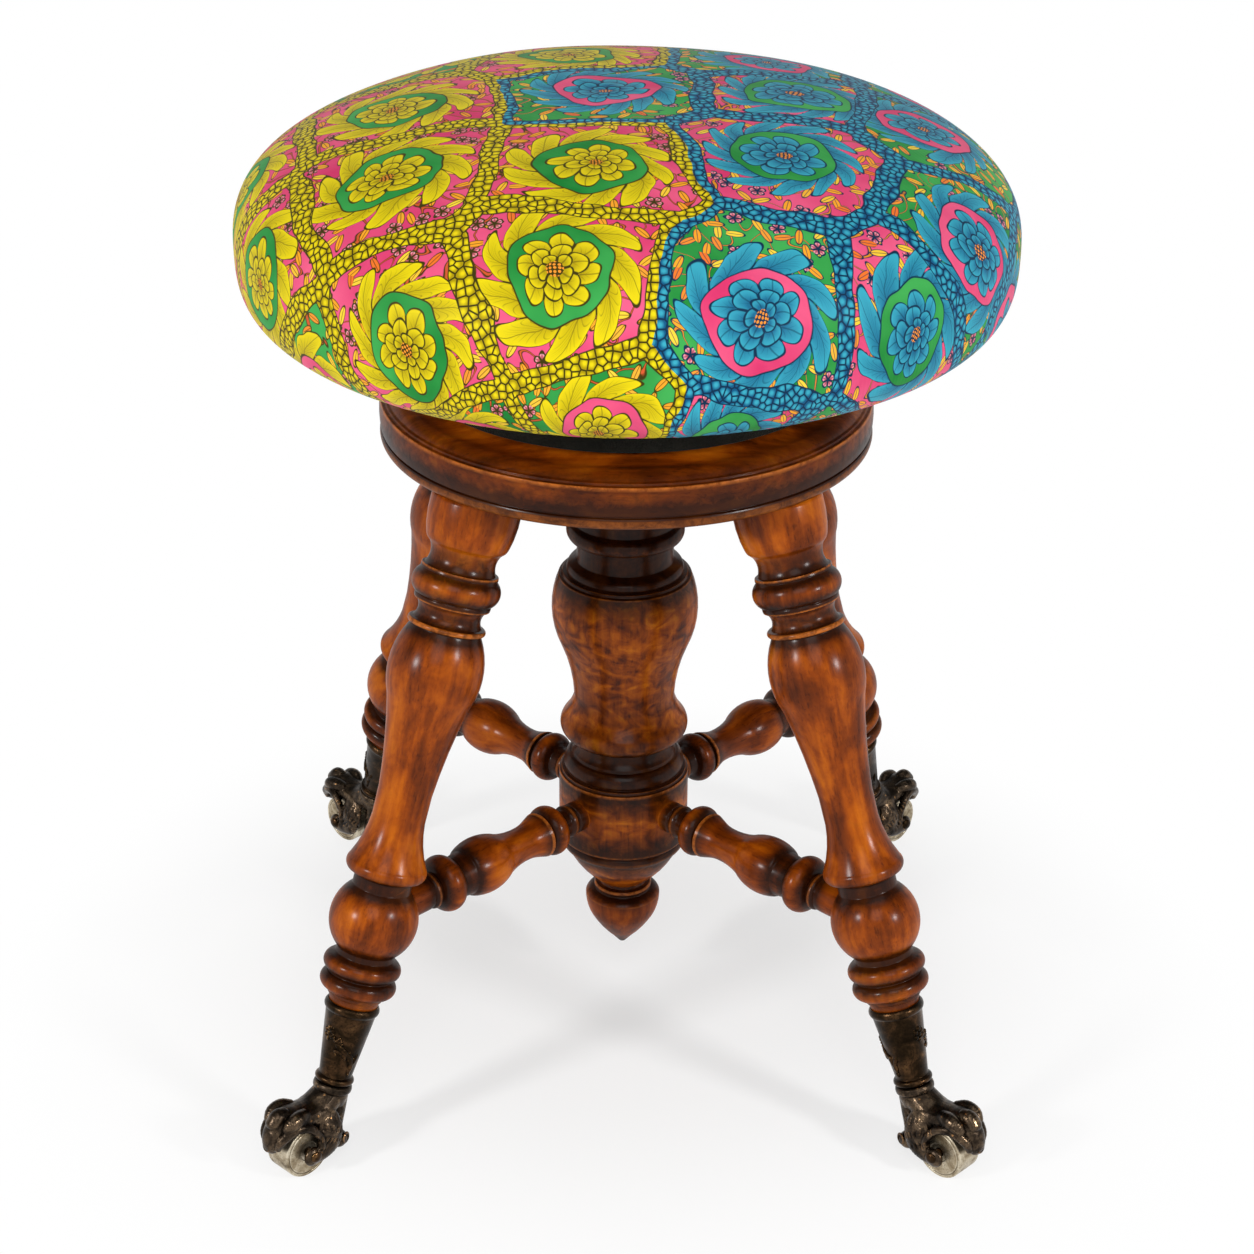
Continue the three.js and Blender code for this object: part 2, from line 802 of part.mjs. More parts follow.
// Stations in shares of the wheel's radius along X and Z and for the half heights, and of the
// side toes' distance from the middle along Y and for the half widths
const pawBackShares = [
  [-1.6, 0, 1.62, 0.58, 0.8],
  [-1.25, 0, 1.4, 0.58, 0.86],
  [-0.6, 0, 1.2, 0.5, 0.9],
  [0.1, 0, 1.32, 0.48, 0.9],
  [0.5, 0, 1.42, 0.5, 0.82],
  [0.85, 0, 1.4, 0.38, 0.56],
];
const frontToeShares = [
  [0.7, 0, 1.5, 0.42, 0.45],
  [1, 0, 1.33, 0.38, 0.42],
  [1.2, 0, 0.95, 0.33, 0.42],
  [1.2, 0, 0.58, 0.3, 0.4],
  [1.06, 0, 0.38, 0.14, 0.22],
];
const heelShares = [
  [-1.75, 0, 1.53, 0.5, 0.74],
  [-1.6, 0, 0.85, 0.44, 0.7],
  [-1.46, 0, 0.1, 0.34, 0.7],
  [-1.48, 0, -0.4, 0.36, 0.8],
  [-1.36, 0, -0.68, 0.18, 0.6],
];
const sideToeShares = [
  [-0.72, 0.5, 1.2, 0.55, 0.45],
  [-0.84, 0.92, 0.66, 0.6, 0.36],
  [-0.82, 1.02, 0.12, 0.42, 0.3],
  [-0.3, 1.03, -0.06, 0.33, 0.3],
  [0.26, 1.03, -0.06, 0.2, 0.26],
];
const knuckleShares = [
  [0, 0.43, 1.43, 0.28, 0.34],
  [0.33, 0.65, 1.52, 0.32, 0.4],
  [0.7, 0.65, 1.47, 0.31, 0.38],
  [0.93, 0.56, 1.2, 0.16, 0.2],
];

function pawGeometry() {
  const mirrored = (shares) => shares.map(([x, y, ...rest]) => [x, -y, ...rest]);
  const toes = [pawBackShares, frontToeShares, heelShares, sideToeShares, knuckleShares];
  const others = [sideToeShares, knuckleShares].map(mirrored);
  let body = [...toes, ...others].map(limb).reduce((whole, part) => whole.add(part));

  // The wheel's room, the axle's hole and the flats under its riveted ends
  const alongAxle = new THREE.Matrix4().makeRotationX(quarterTurn).toArray();
  const well = wheelWidth / 2 + wheelSideGap;
  const seat = toeMiddle + toeThickness / 2;
  const beyond = seat + pawDrop;
  body = body.subtract(solid(rod(wheelRadius + wheelWellGap, -well, well, wellSides)).transform(alongAxle));
  body = body.subtract(solid(rod(axleRadius + gap, -beyond, beyond, smallSides)).transform(alongAxle));
  const flat = solid(rod(axleHeadRadius + gap, seat, beyond, smallSides));
  body = body.subtract(flat.transform(alongAxle));
  body = body.subtract(flat.transform(new THREE.Matrix4().makeRotationX(-quarterTurn).toArray()));

  // The collar under the ferrule, and the spigot inside it
  const collarPlace = new THREE.Matrix4().makeRotationY(-legSplay).setPosition(-pawReach, 0, pawDrop);
  const ferruleRoom = solid(rod(2 * pawCollarRadius, -gap, pawDrop, legSides));
  body = body.subtract(ferruleRoom.transform(collarPlace.toArray()));
  const profile = corners([
    [0, -2 * pawCollarHeight],
    [pawCollarRadius - pawCollarHeight / 2, -2 * pawCollarHeight],
    [pawCollarRadius, -pawCollarHeight],
    [pawCollarRadius, -gap - pawCollarHeight / 4],
    [pawCollarRadius - pawCollarHeight / 4, -gap],
    [spigotRadius, -gap],
    [spigotRadius, spigotLength],
    [0, spigotLength],
  ]);
  const collar = solid(turned(profile, legSides)).subtract(ferruleScrewHole(0));
  return geometryOf(body.add(collar.transform(collarPlace.toArray())));
}

// The stool

const stool = new THREE.Group();

const frame = new THREE.Group();
frame.add(
  mesh("base_plate", plateGeometry(), walnut),
  mesh("column", columnGeometry(), burl),
  mesh("finial", finialGeometry(), walnut),
  mesh("spindle_nut", nutGeometry(), oldIron),
);
nutScrewPlaces().forEach(([x, y], i) => {
  const screw = mesh(`nut_screw_${i + 1}`, screwGeometry(woodScrewRadius, woodScrewLength), oldIron);
  screw.position.set(x, y, plateTop - gap);
  frame.add(screw);
});
stool.add(frame);

const legs = legGeometry();
const stretchers = stretcherGeometry();
const ferrules = ferruleGeometry();
const ferruleScrews = ferruleScrewGeometry();
const paws = pawGeometry();
const wheels = wheelGeometry();
const axles = axleGeometry();

for (let i = 0; i < cornerCount; i++) {
  const corner = new THREE.Group();
  corner.rotation.z = cornerAngle(i);
  const name = cornerNames[i];
  corner.add(mesh(`leg_${name}`, legs, walnut), mesh(`stretcher_${name}`, stretchers, walnut));

  const ferrule = new THREE.Group();
  ferrule.position.set(
    legCircle + ferruleTop * Math.sin(legSplay),
    0,
    plateBottom - ferruleTop * Math.cos(legSplay),
  );
  ferrule.rotation.y = -legSplay;
  ferrule.add(
    mesh(`ferrule_${name}`, ferrules, bronze),
    mesh(`ferrule_screw_${name}`, ferruleScrews, bronze),
  );
  corner.add(ferrule);

  const foot = new THREE.Group();
  foot.position.set(wheelCircle, 0, axleHeight);
  foot.add(
    mesh(`paw_${name}`, paws, blackIron),
    mesh(`wheel_${name}`, wheels, paleSteel),
    mesh(`axle_${name}`, axles, bronze),
  );
  corner.add(foot);
  stool.add(corner);
}

const seat = new THREE.Group();
seat.add(
  mesh("thrust_washer", washerGeometry(), oldIron),
  mesh("spindle", spindleGeometry(), oldIron),
  mesh("spindle_pin", crossPinGeometry(), oldIron),
  mesh("seat_spider", spiderGeometry(), blackIron),
  mesh("seat_block", blockGeometry(), rawWood),
  mesh("block_cloth", blockClothGeometry(), blackCloth),
  mesh("seat_board", rod(boardRadius, boardBottom, boardTop, cushionSides), rawWood),
  mesh("seat_padding", foamGeometry(), wadding),
  mesh("seat_cover", coverGeometry(), printedCloth),
);
spiderScrewPlaces().forEach(([x, y], i) => {
  const screw = mesh(`spider_screw_${i + 1}`, screwGeometry(woodScrewRadius, woodScrewLength), oldIron);
  screw.rotation.x = Math.PI;
  screw.position.set(x, y, blockBottom + gap);
  seat.add(screw);
});
stool.add(seat);

export default stool;
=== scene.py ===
import math

import bpy
import numpy as np
from mathutils import Matrix, Vector


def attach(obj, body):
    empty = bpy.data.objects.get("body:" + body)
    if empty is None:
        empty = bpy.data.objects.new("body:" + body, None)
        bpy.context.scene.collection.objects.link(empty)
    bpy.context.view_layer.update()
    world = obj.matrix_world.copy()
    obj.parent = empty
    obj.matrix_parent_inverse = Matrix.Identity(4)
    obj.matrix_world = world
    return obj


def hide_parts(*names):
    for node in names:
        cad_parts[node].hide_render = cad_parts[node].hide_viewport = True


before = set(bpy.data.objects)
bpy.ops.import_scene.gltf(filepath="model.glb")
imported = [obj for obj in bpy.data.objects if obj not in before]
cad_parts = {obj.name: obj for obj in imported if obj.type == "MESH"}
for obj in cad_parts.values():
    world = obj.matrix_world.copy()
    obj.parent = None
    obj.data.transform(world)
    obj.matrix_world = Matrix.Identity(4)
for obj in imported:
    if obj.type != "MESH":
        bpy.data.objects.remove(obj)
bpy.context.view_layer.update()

MM = 0.001
DEGREE = math.pi / 180
CORNERS = {"back_left": 135, "front_left": 225, "front_right": 315, "back_right": 45}

# Sizes in mm, as in the part's source
GAP = 0.3
WHEEL_RADIUS = 14.71  # the tread rolls on the floor
WHEEL_WIDTH = 16
AXLE_HEIGHT = 14.7118
WHEEL_CIRCLE = 241.689
PAW_REACH = 25.2
PAW_DROP = 28.8
TOE_MIDDLE = 11.6
TOE_THICKNESS = 5.6
LEG_LENGTH = 282.7
LEG_RADIUS = 25
LEG_SPLAY = 20.1 * DEGREE
LEG_CIRCLE = 103.7
FERRULE_LENGTH = 45.2
FERRULE_RADIUS = 15.6
PLATE_RADIUS = 130
PLATE_THICKNESS = 30
PLATE_BOTTOM = 351.7225
PLATE_TOP = PLATE_BOTTOM + PLATE_THICKNESS
COLUMN_RADIUS = 40
COLUMN_LENGTH = 275.5
COLUMN_BORE = 13.5
COLUMN_BORE_DEPTH = 170
FINIAL_LENGTH = 43.2
FINIAL_RADIUS = 21.5
DRUM_RADIUS = 0.903 * COLUMN_RADIUS
STRETCHER_RADIUS = 15.8
STRETCHER_HEIGHT = 130.05
STRETCHER_REACH = 161.4  # from the spindle's axis to the leg's ball
NUT_FLANGE_RADIUS = 33
NUT_FLANGE = 5
NUT_BOSS_RADIUS = 18
SPINDLE_RADIUS = 11
SPINDLE_DEPTH = 166
THREAD_PITCH = 6
WASHER_RADIUS = 19
WASHER_BOTTOM = PLATE_TOP + GAP
BLOCK_BOTTOM = WASHER_BOTTOM + 2 + GAP
BLOCK_RADIUS = 108.5
BLOCK_HEIGHT = 28.9
BOARD_BOTTOM = BLOCK_BOTTOM + BLOCK_HEIGHT + GAP
BOARD_RADIUS = 150
BOARD_THICKNESS = 12
SPIDER_RADIUS = 44
SPIDER_THICKNESS = 5
SPIDER_ARM = 19
SPIDER_BOSS_RADIUS = 17
SPIDER_BOSS_HEIGHT = 19
CLOTH = 1.2
BLOCK_HEM = 16
CUSHION_RADIUS = 198.5
CROWN_HEIGHT = 71.8
CUSHION_DROP = 57.4
CROWN_POWER = 2.41
DROP_POWER = 3.5
COVER_HEM = 24


# Modelling


def alone(obj):
    """Makes a piece the only one selected."""
    bpy.ops.object.select_all(action="DESELECT")
    obj.select_set(True)
    bpy.context.view_layer.objects.active = obj


def settled(obj, place=Matrix()):
    """Moves a piece to its place and keeps the place in its mesh."""
    alone(obj)
    obj.matrix_world = place @ obj.matrix_world
    bpy.ops.object.transform_apply(location=True, rotation=True, scale=True)
    return obj


def copied(obj, name, place=Matrix()):
    alone(obj)
    bpy.ops.object.duplicate()
    twin = bpy.context.active_object
    twin.name = twin.data.name = name
    return settled(twin, place)


def modified(obj, kind, **settings):
    """Adds a modifier and applies it."""
    alone(obj)
    bpy.ops.object.modifier_add(type=kind)
    modifier = obj.modifiers[-1]
    for key, value in settings.items():
        setattr(modifier, key, value)
    bpy.ops.object.modifier_apply(modifier=modifier.name)
    return obj


def joined(parts, name):
    """Joins pieces into the first of them."""
    alone(parts[0])
    for part in parts[1:]:
        part.select_set(True)
    bpy.ops.object.join()
    parts[0].name = parts[0].data.name = name
    return parts[0]


def smoothed(obj, angle=35):
    alone(obj)
    bpy.ops.object.shade_smooth_by_angle(angle=angle * DEGREE)
    return obj


def drawn(name, points):
    """A line of edges drawn from point to point, left open in edit mode."""
    bpy.ops.object.select_all(action="DESELECT")
    bpy.ops.mesh.primitive_plane_add(size=MM, location=points[0])
    obj = bpy.context.active_object
    obj.name = obj.data.name = name
    bpy.ops.object.mode_set(mode="EDIT")
    bpy.ops.mesh.merge(type="CENTER")
    for before, after in zip(points, points[1:]):
        bpy.ops.mesh.extrude_vertices_move(TRANSFORM_OT_translate={"value": after - before})
    return obj


def outline(stations, length, radius):
    """Points (out, along) of stations (along share, out share, bulge to the next)."""
    arc_step = 6 * DEGREE
    points = []
    for station, after in zip(stations, [*stations[1:], stations[-1]]):
        along, out, bulge = (*station, 0)[:3]
        start = Vector((out * radius, along * length))
        if not bulge:
            points.append(start)
            continue
        end = Vector((after[1] * radius, after[0] * length))
        chord = end - start
        across = Vector((-chord.y, chord.x))
        centre = (start + end) / 2 + across * (1 - bulge**2) / (4 * bulge)
        sweep = 4 * math.atan(bulge)
        steps = max(4, round(abs(sweep) / arc_step))
        for k in range(steps):
            points.append(centre + Matrix.Rotation(sweep * k / steps, 2) @ (start - centre))
    return points


def softened(points):
    """Rounds each corner of an outline: an edge that the tool left a little, a shallow bend more."""
    edge_bend, least_bend = 40 * DEGREE, 7 * DEGREE
    edge_cut, bend_cut, steps = 0.45, 5, 4
    made = [points[0]]
    for before, here, after in zip(points, points[1:], points[2:]):
        back, on = before - here, after - here
        bend = math.pi - back.angle(on, math.pi)
        if bend < least_bend:
            made.append(here)
            continue
        cut = edge_cut if bend > edge_bend else bend_cut
        start = here + back.normalized() * min(cut, 0.4 * back.length)
        end = here + on.normalized() * min(cut, 0.4 * on.length)
        for k in range(steps + 1):
            t = k / steps
            made.append(start * (1 - t) ** 2 + here * 2 * t * (1 - t) + end * t**2)
    return divided([*made, points[-1]], 4)


def divided(points, step):
    """The same outline with a point at least every step."""
    made = [points[0]]
    for here, after in zip(points, points[1:]):
        parts = math.ceil((after - here).length / step)
        made += [here.lerp(after, (k + 1) / parts) for k in range(parts)]
    return made


def hollows(points, reach):
    """How deep each point of an outline lies under the average of its neighbours, in mm."""
    out, along = np.array([tuple(p) for p in points]).T
    fine_out, fine_along = np.array([tuple(p) for p in divided(points, reach / 4)]).T
    middle_out, middle_along = (fine_out[1:] + fine_out[:-1]) / 2, (fine_along[1:] + fine_along[:-1]) / 2
    length = np.hypot(np.diff(fine_out), np.diff(fine_along))
    away = np.hypot(along[:, None] - middle_along, out[:, None] - middle_out)
    near = np.exp(-((away / reach) ** 2)) * length + 1e-9
    return (near * middle_out).sum(1) / near.sum(1) - out


def stain_and_shade_spread(points, depth, reach):
    """How strongly old stain and painted shade lie at each point of an outline: 1 in a groove, less around it."""
    out, along = np.array([tuple(p) for p in points]).T
    groove = np.clip((depth - 0.04) / 0.3, 0, 1)
    away = np.hypot(out[:, None] - out, along[:, None] - along)
    return (groove * np.exp(-((away / reach) ** 2))).max(1)


def turned(name, points, sides=96, grain="turning", reach=6.5):
    """A piece turned on the lathe about Z, from outline points (out, along) in mm.

    It keeps each point's place on the lathe, how deep in the outline it lies, and how much stain
    and painted shade it gets round the grooves and in the waists, for the finish.
    """
    obj = drawn(name, [Vector((p[0] * MM, 0, p[1] * MM)) for p in points])
    bpy.ops.mesh.select_all(action="SELECT")
    bpy.ops.mesh.spin(steps=sides, angle=2 * math.pi, center=(0, 0, 0), axis=(0, 0, 1))
    bpy.ops.mesh.select_all(action="SELECT")
    bpy.ops.mesh.remove_doubles(threshold=0.003 * MM)
    bpy.ops.mesh.normals_make_consistent(inside=False)
    bpy.ops.object.mode_set(mode="OBJECT")
    settled(obj)
    place = np.empty(len(obj.data.vertices) * 3)
    obj.data.vertices.foreach_get("co", place)
    place = place.reshape(-1, 3)
    rings = np.hypot(place[:, 0], place[:, 1]) / MM
    spots = np.array([(p[0], p[1]) for p in points])
    nearest = np.hypot(rings[:, None] - spots[:, 0], place[:, 2:] / MM - spots[:, 1]).argmin(1)
    fine = hollows(points, 2.2)
    # Dark round the grooves and in the waists: partly old stain, partly painted shade
    stain_and_painted_shade = np.maximum(stain_and_shade_spread(points, fine, reach), np.clip(hollows(points, 11) / 3, 0, 1))
    for key, depth in (("hollow", fine), ("stain_and_painted_shade", stain_and_painted_shade)):
        obj.data.attributes.new(key, "FLOAT", "POINT").data.foreach_set(
            "value", depth[nearest].astype(np.float32)
        )
    lathe = place if grain == "turning" else place[:, ::-1]
    obj.data.attributes.new("turning", "FLOAT_VECTOR", "POINT").data.foreach_set(
        "vector", lathe.astype(np.float32).ravel()
    )
    return smoothed(obj)


def round_the_stool(obj, place, body=None):
    """Copies a piece made in a corner's own frame to the four corners."""
    made = {}
    stem = obj.name
    for corner, angle in CORNERS.items():
        spin = Matrix.Rotation(angle * DEGREE, 4, "Z")
        made[corner] = copied(obj, f"{stem}_{corner}", spin @ place)
        shift_grain(made[corner], angle)
        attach(made[corner], body or "base")
    bpy.data.objects.remove(obj)
    return made


def shift_grain(obj, amount):
    """Gives a copy its own stretch of timber, so that no two copies have the same figure."""
    grain = obj.data.attributes.get("turning")
    if grain is None:
        return
    values = np.empty(len(obj.data.vertices) * 3, np.float32)
    grain.data.foreach_get("vector", values)
    grain.data.foreach_set("vector", values + np.float32(amount * MM))


def finish(obj, material):
    """Gives a piece its material."""
    obj.data.materials.clear()
    obj.data.materials.append(material)
    return obj


def coordinates(obj):
    place = np.empty(len(obj.data.vertices) * 3)
    obj.data.vertices.foreach_get("co", place)
    return place.reshape(-1, 3)


def fused(obj, voxel, rounds=2):
    """Presses overlapping forms into one skin."""
    alone(obj)
    obj.data.remesh_voxel_size = voxel * MM
    bpy.ops.object.voxel_remesh()
    return modified(obj, "SMOOTH", factor=0.5, iterations=rounds)


def cut(obj, tool):
    """Cuts a tool's shape away."""
    modified(obj, "BOOLEAN", object=tool, operation="DIFFERENCE", solver="EXACT")
    bpy.data.objects.remove(tool)
    return obj


# Materials


def tint(code):
    """An sRGB hex colour as linear RGBA."""
    parts = [int(code[i : i + 2], 16) / 255 for i in (1, 3, 5)]
    return (*(c / 12.92 if c <= 0.04045 else ((c + 0.055) / 1.055) ** 2.4 for c in parts), 1)


def add(tree, kind, inputs=(), stops=(), **settings):
    """Adds a node with its settings and links.

    An input is a value, a colour's hex, or a node or socket to link. Stops are the places and
    colours of a ramp.
    """
    made = tree.nodes.new("ShaderNode" + kind)
    for key, value in settings.items():
        setattr(made, key, value)
    for key, value in dict(inputs).items():
        if isinstance(value, bpy.types.Node):
            value = next(out for out in value.outputs if out.enabled)
        if isinstance(value, bpy.types.NodeSocket):
            tree.links.new(value, made.inputs[key])
        else:
            made.inputs[key].default_value = tint(value) if isinstance(value, str) else value
    for _ in stops[2:]:
        made.color_ramp.elements.new(0.5)
    for element, (place, colour) in zip(made.color_ramp.elements if stops else (), stops):
        element.position, element.color = place, tint(colour)
    return made


def new_material(name):
    material = bpy.data.materials.new(name)
    material.use_nodes = True
    material.node_tree.nodes.clear()
    return material, material.node_tree


def polished_walnut(name, stops, swirl=0.6, pore=900, dash=170, figure=(1, 1, 0.55)):
    """Walnut turned on the lathe, stained, and French polished by hand.

    The stain lies in clouds, the pores are short dark dashes, the finish is nearly black in and round
    the grooves and the waists, partly old stain and partly painted shade, and copper on the crests,
    partly polish rubbed through and partly a painted highlight; its coat gives small soft highlights.
    """
    material, tree = new_material(name)
    grain = add(tree, "Attribute", attribute_name="turning").outputs["Vector"]
    hollow = add(tree, "Attribute", attribute_name="hollow").outputs["Fac"]
    gathered_stain_and_shade = add(tree, "Attribute", attribute_name="stain_and_painted_shade").outputs["Fac"]
    # Clouds of stain 22 mm across, streaks 4 mm wide and 60 mm long, and mottling of 6 mm
    figured = add(tree, "Mapping", {0: grain, 3: figure})
    clouds = add(tree, "TexNoise", {0: figured, "Scale": 45, "Detail": 5, "Roughness": 0.5, "Distortion": swirl})
    along = add(tree, "Mapping", {0: grain, 3: (260, 260, 16)})
    streaks = add(tree, "TexNoise", {0: along, "Scale": 1, "Detail": 4, "Distortion": 0.5 * swirl})
    mottle = add(tree, "TexNoise", {0: grain, "Scale": 170, "Detail": 6, "Roughness": 0.7, "Distortion": swirl})
    tone = add(tree, "Mix", {"Factor": 0.3, "A": clouds, "B": streaks})
    tone = add(tree, "Mix", {"Factor": 0.16, "A": tone, "B": mottle})
    wood = add(tree, "ValToRGB", {0: tone}, stops)
    # Pores about half a millimetre wide, in patches
    short = add(tree, "Mapping", {0: grain, 3: (pore, pore, dash)})
    pores = add(tree, "TexNoise", {0: short, "Scale": 1, "Detail": 2})
    dashes = add(tree, "MapRange", {0: pores, 1: 0.57, 2: 0.7})
    patch = add(tree, "MapRange", {0: clouds, 1: 0.62, 2: 0.42, 3: 0.05, 4: 0.5})
    share = add(tree, "Math", {0: dashes, 1: patch}, operation="MULTIPLY")
    pored = add(tree, "Mix", {"Factor": share, "A": wood, "B": "#1c0902"}, data_type="RGBA")
    # Nearly black in the grooves, darker round them and in the waists: partly old stain, partly painted shade
    groove = add(tree, "MapRange", {0: hollow, 1: 0.05, 2: 0.38, 3: 0, 4: 0.92})
    ragged = add(tree, "Math", {0: mottle, 1: 0.9, 2: gathered_stain_and_shade}, operation="MULTIPLY_ADD")
    broad = add(tree, "MapRange", {0: ragged, 1: 0.6, 2: 1.3, 3: 0, 4: 0.9})
    dark = add(tree, "Math", {0: groove, 1: broad}, operation="MAXIMUM")
    stained_and_shaded = add(tree, "Mix", {"Factor": dark, "A": pored, "B": "#150702"}, data_type="RGBA")
    # Copper on the crests and sharp edges: partly polish rubbed through, partly a painted highlight
    crest = add(tree, "MapRange", {0: hollow, 1: -0.26, 2: -0.48, 3: 0, 4: 1})
    rubbed = add(tree, "MapRange", {0: mottle, 1: 0.38, 2: 0.6, 3: 0.2, 4: 0.85})
    wear = add(tree, "Math", {0: crest, 1: rubbed}, operation="MULTIPLY")
    worn = add(tree, "Mix", {"Factor": wear, "A": stained_and_shaded, "B": "#c06a26"}, data_type="RGBA")
    rough = add(tree, "MapRange", {0: mottle, 1: 0.35, 2: 0.65, 3: 0.38, 4: 0.55})
    bump = add(tree, "Bump", {"Height": tone, "Strength": 0.14, "Distance": 0.6 * MM})
    shader = add(
        tree,
        "BsdfPrincipled",
        {
            "Base Color": worn,
            "Roughness": rough,
            "Normal": bump,
            "IOR": 1.5,
            "Specular IOR Level": 0.03,
            "Coat Weight": 0.24,
            "Coat Roughness": 0.22,
            "Coat Normal": bump,
        },
    )
    add(tree, "OutputMaterial", {"Surface": shader})
    return material


def aged_metal(name, cloud, stops, worn, edge=(0.5, 0.53), rough=(0.3, 0.5), pit=0.12):
    """Metal with a dark skin of age: clouds of patina, pits, and worn colour on its high spots.

    The skin dulls the shine in patches and the rubbed edges catch the light.
    """
    material, tree = new_material(name)
    place = add(tree, "TexCoord").outputs["Object"]
    high = add(tree, "NewGeometry").outputs["Pointiness"]
    clouds = add(tree, "TexNoise", {0: place, "Scale": cloud, "Detail": 6, "Roughness": 0.62, "Distortion": 0.6})
    skin = add(tree, "ValToRGB", {0: clouds}, stops)
    # Casting pits of a millimetre and fine grit of a third of one
    pits = add(tree, "TexNoise", {0: place, "Scale": 1000, "Detail": 4, "Roughness": 0.7})
    spots = add(tree, "MapRange", {0: pits, 1: 0.36, 2: 0.48, 3: 0.75, 4: 0})
    pitted = add(tree, "Mix", {"Factor": spots, "A": skin, "B": stops[0][1]}, data_type="RGBA")
    raised = add(tree, "MapRange", {0: high, 1: edge[0], 2: edge[1], 3: 0, 4: 1})
    uneven = add(tree, "MapRange", {0: clouds, 1: 0.38, 2: 0.6, 3: 0.15, 4: 1})
    wear = add(tree, "Math", {0: raised, 1: uneven}, operation="MULTIPLY")
    rubbed = add(tree, "Mix", {"Factor": wear, "A": pitted, "B": worn}, data_type="RGBA")
    sunk = add(tree, "MapRange", {0: high, 1: 0.5, 2: 0.46, 3: 0, 4: 0.8})
    dirty = add(tree, "Mix", {"Factor": sunk, "A": rubbed, "B": "#0d0906"}, data_type="RGBA")
    dull = add(tree, "MapRange", {0: clouds, 1: 0.35, 2: 0.65, 3: rough[1], 4: rough[0]})
    bump = add(tree, "Bump", {"Height": pits, "Strength": 0.5, "Distance": pit * MM})
    shader = add(tree, "BsdfPrincipled", {"Base Color": dirty, "Roughness": dull, "Metallic": 1, "Normal": bump})
    add(tree, "OutputMaterial", {"Surface": shader})
    return material


def black_felt():
    """Black wool felt: matt, nearly without colour, with a soft nap that greys where it turns away.

    The nap is drawn at 1.2 mm, coarser than real wool, so that it shows.
    """
    material, tree = new_material("black_wool_felt")
    place = add(tree, "TexCoord").outputs["Object"]
    nap = add(tree, "TexNoise", {0: place, "Scale": 850, "Detail": 5, "Roughness": 0.75, "Distortion": 1.5})
    dust = add(tree, "TexNoise", {0: place, "Scale": 60, "Detail": 4})
    tone = add(tree, "Mix", {"Factor": 0.35, "A": nap, "B": dust})
    wool = add(tree, "ValToRGB", {0: tone}, [(0.35, "#070706"), (0.5, "#11110d"), (0.68, "#25241f")])
    bump = add(tree, "Bump", {"Height": nap, "Strength": 0.7, "Distance": 0.5 * MM})
    inputs = {"Base Color": wool, "Roughness": 0.95, "Normal": bump, "Sheen Weight": 0.25, "Sheen Roughness": 0.4}
    shader = add(tree, "BsdfPrincipled", {**inputs, "Specular IOR Level": 0.1})
    add(tree, "OutputMaterial", {"Surface": shader})
    return material


def raw_pine():
    """Sawn pine, never finished: pale straw with brown year rings and dry fibres, gone grey-brown."""
    material, tree = new_material("raw_pine")
    place = add(tree, "TexCoord").outputs["Object"]
    # Year rings 7 mm apart, drawn out 12 times along the board
    board = add(tree, "Mapping", {0: place, 1: (0, 0.31, 0.05), 3: (1, 12, 12)})
    wander = add(tree, "TexNoise", {0: board, "Scale": 3, "Detail": 3})
    shifted = add(tree, "Mix", {"Factor": 0.12, "A": board, "B": wander.outputs["Color"]}, data_type="VECTOR")
    rings = add(tree, "TexWave", {0: shifted, "Scale": 4, "Distortion": 2, "Detail": 2}, wave_type="RINGS", rings_direction="X")
    fibre = add(tree, "Mapping", {0: place, 3: (60, 1400, 1400)})
    fibres = add(tree, "TexNoise", {0: fibre, "Scale": 1, "Detail": 4})
    tone = add(tree, "Mix", {"Factor": 0.45, "A": rings.outputs["Fac"], "B": fibres})
    wood = add(tree, "ValToRGB", {0: tone}, [(0.15, "#7d5a33"), (0.45, "#a27d4e"), (0.8, "#bd9a68")])
    bump = add(tree, "Bump", {"Height": fibres, "Strength": 0.5, "Distance": 0.3 * MM})
    shader = add(tree, "BsdfPrincipled", {"Base Color": wood, "Roughness": 0.8, "Normal": bump})
    add(tree, "OutputMaterial", {"Surface": shader})
    return material


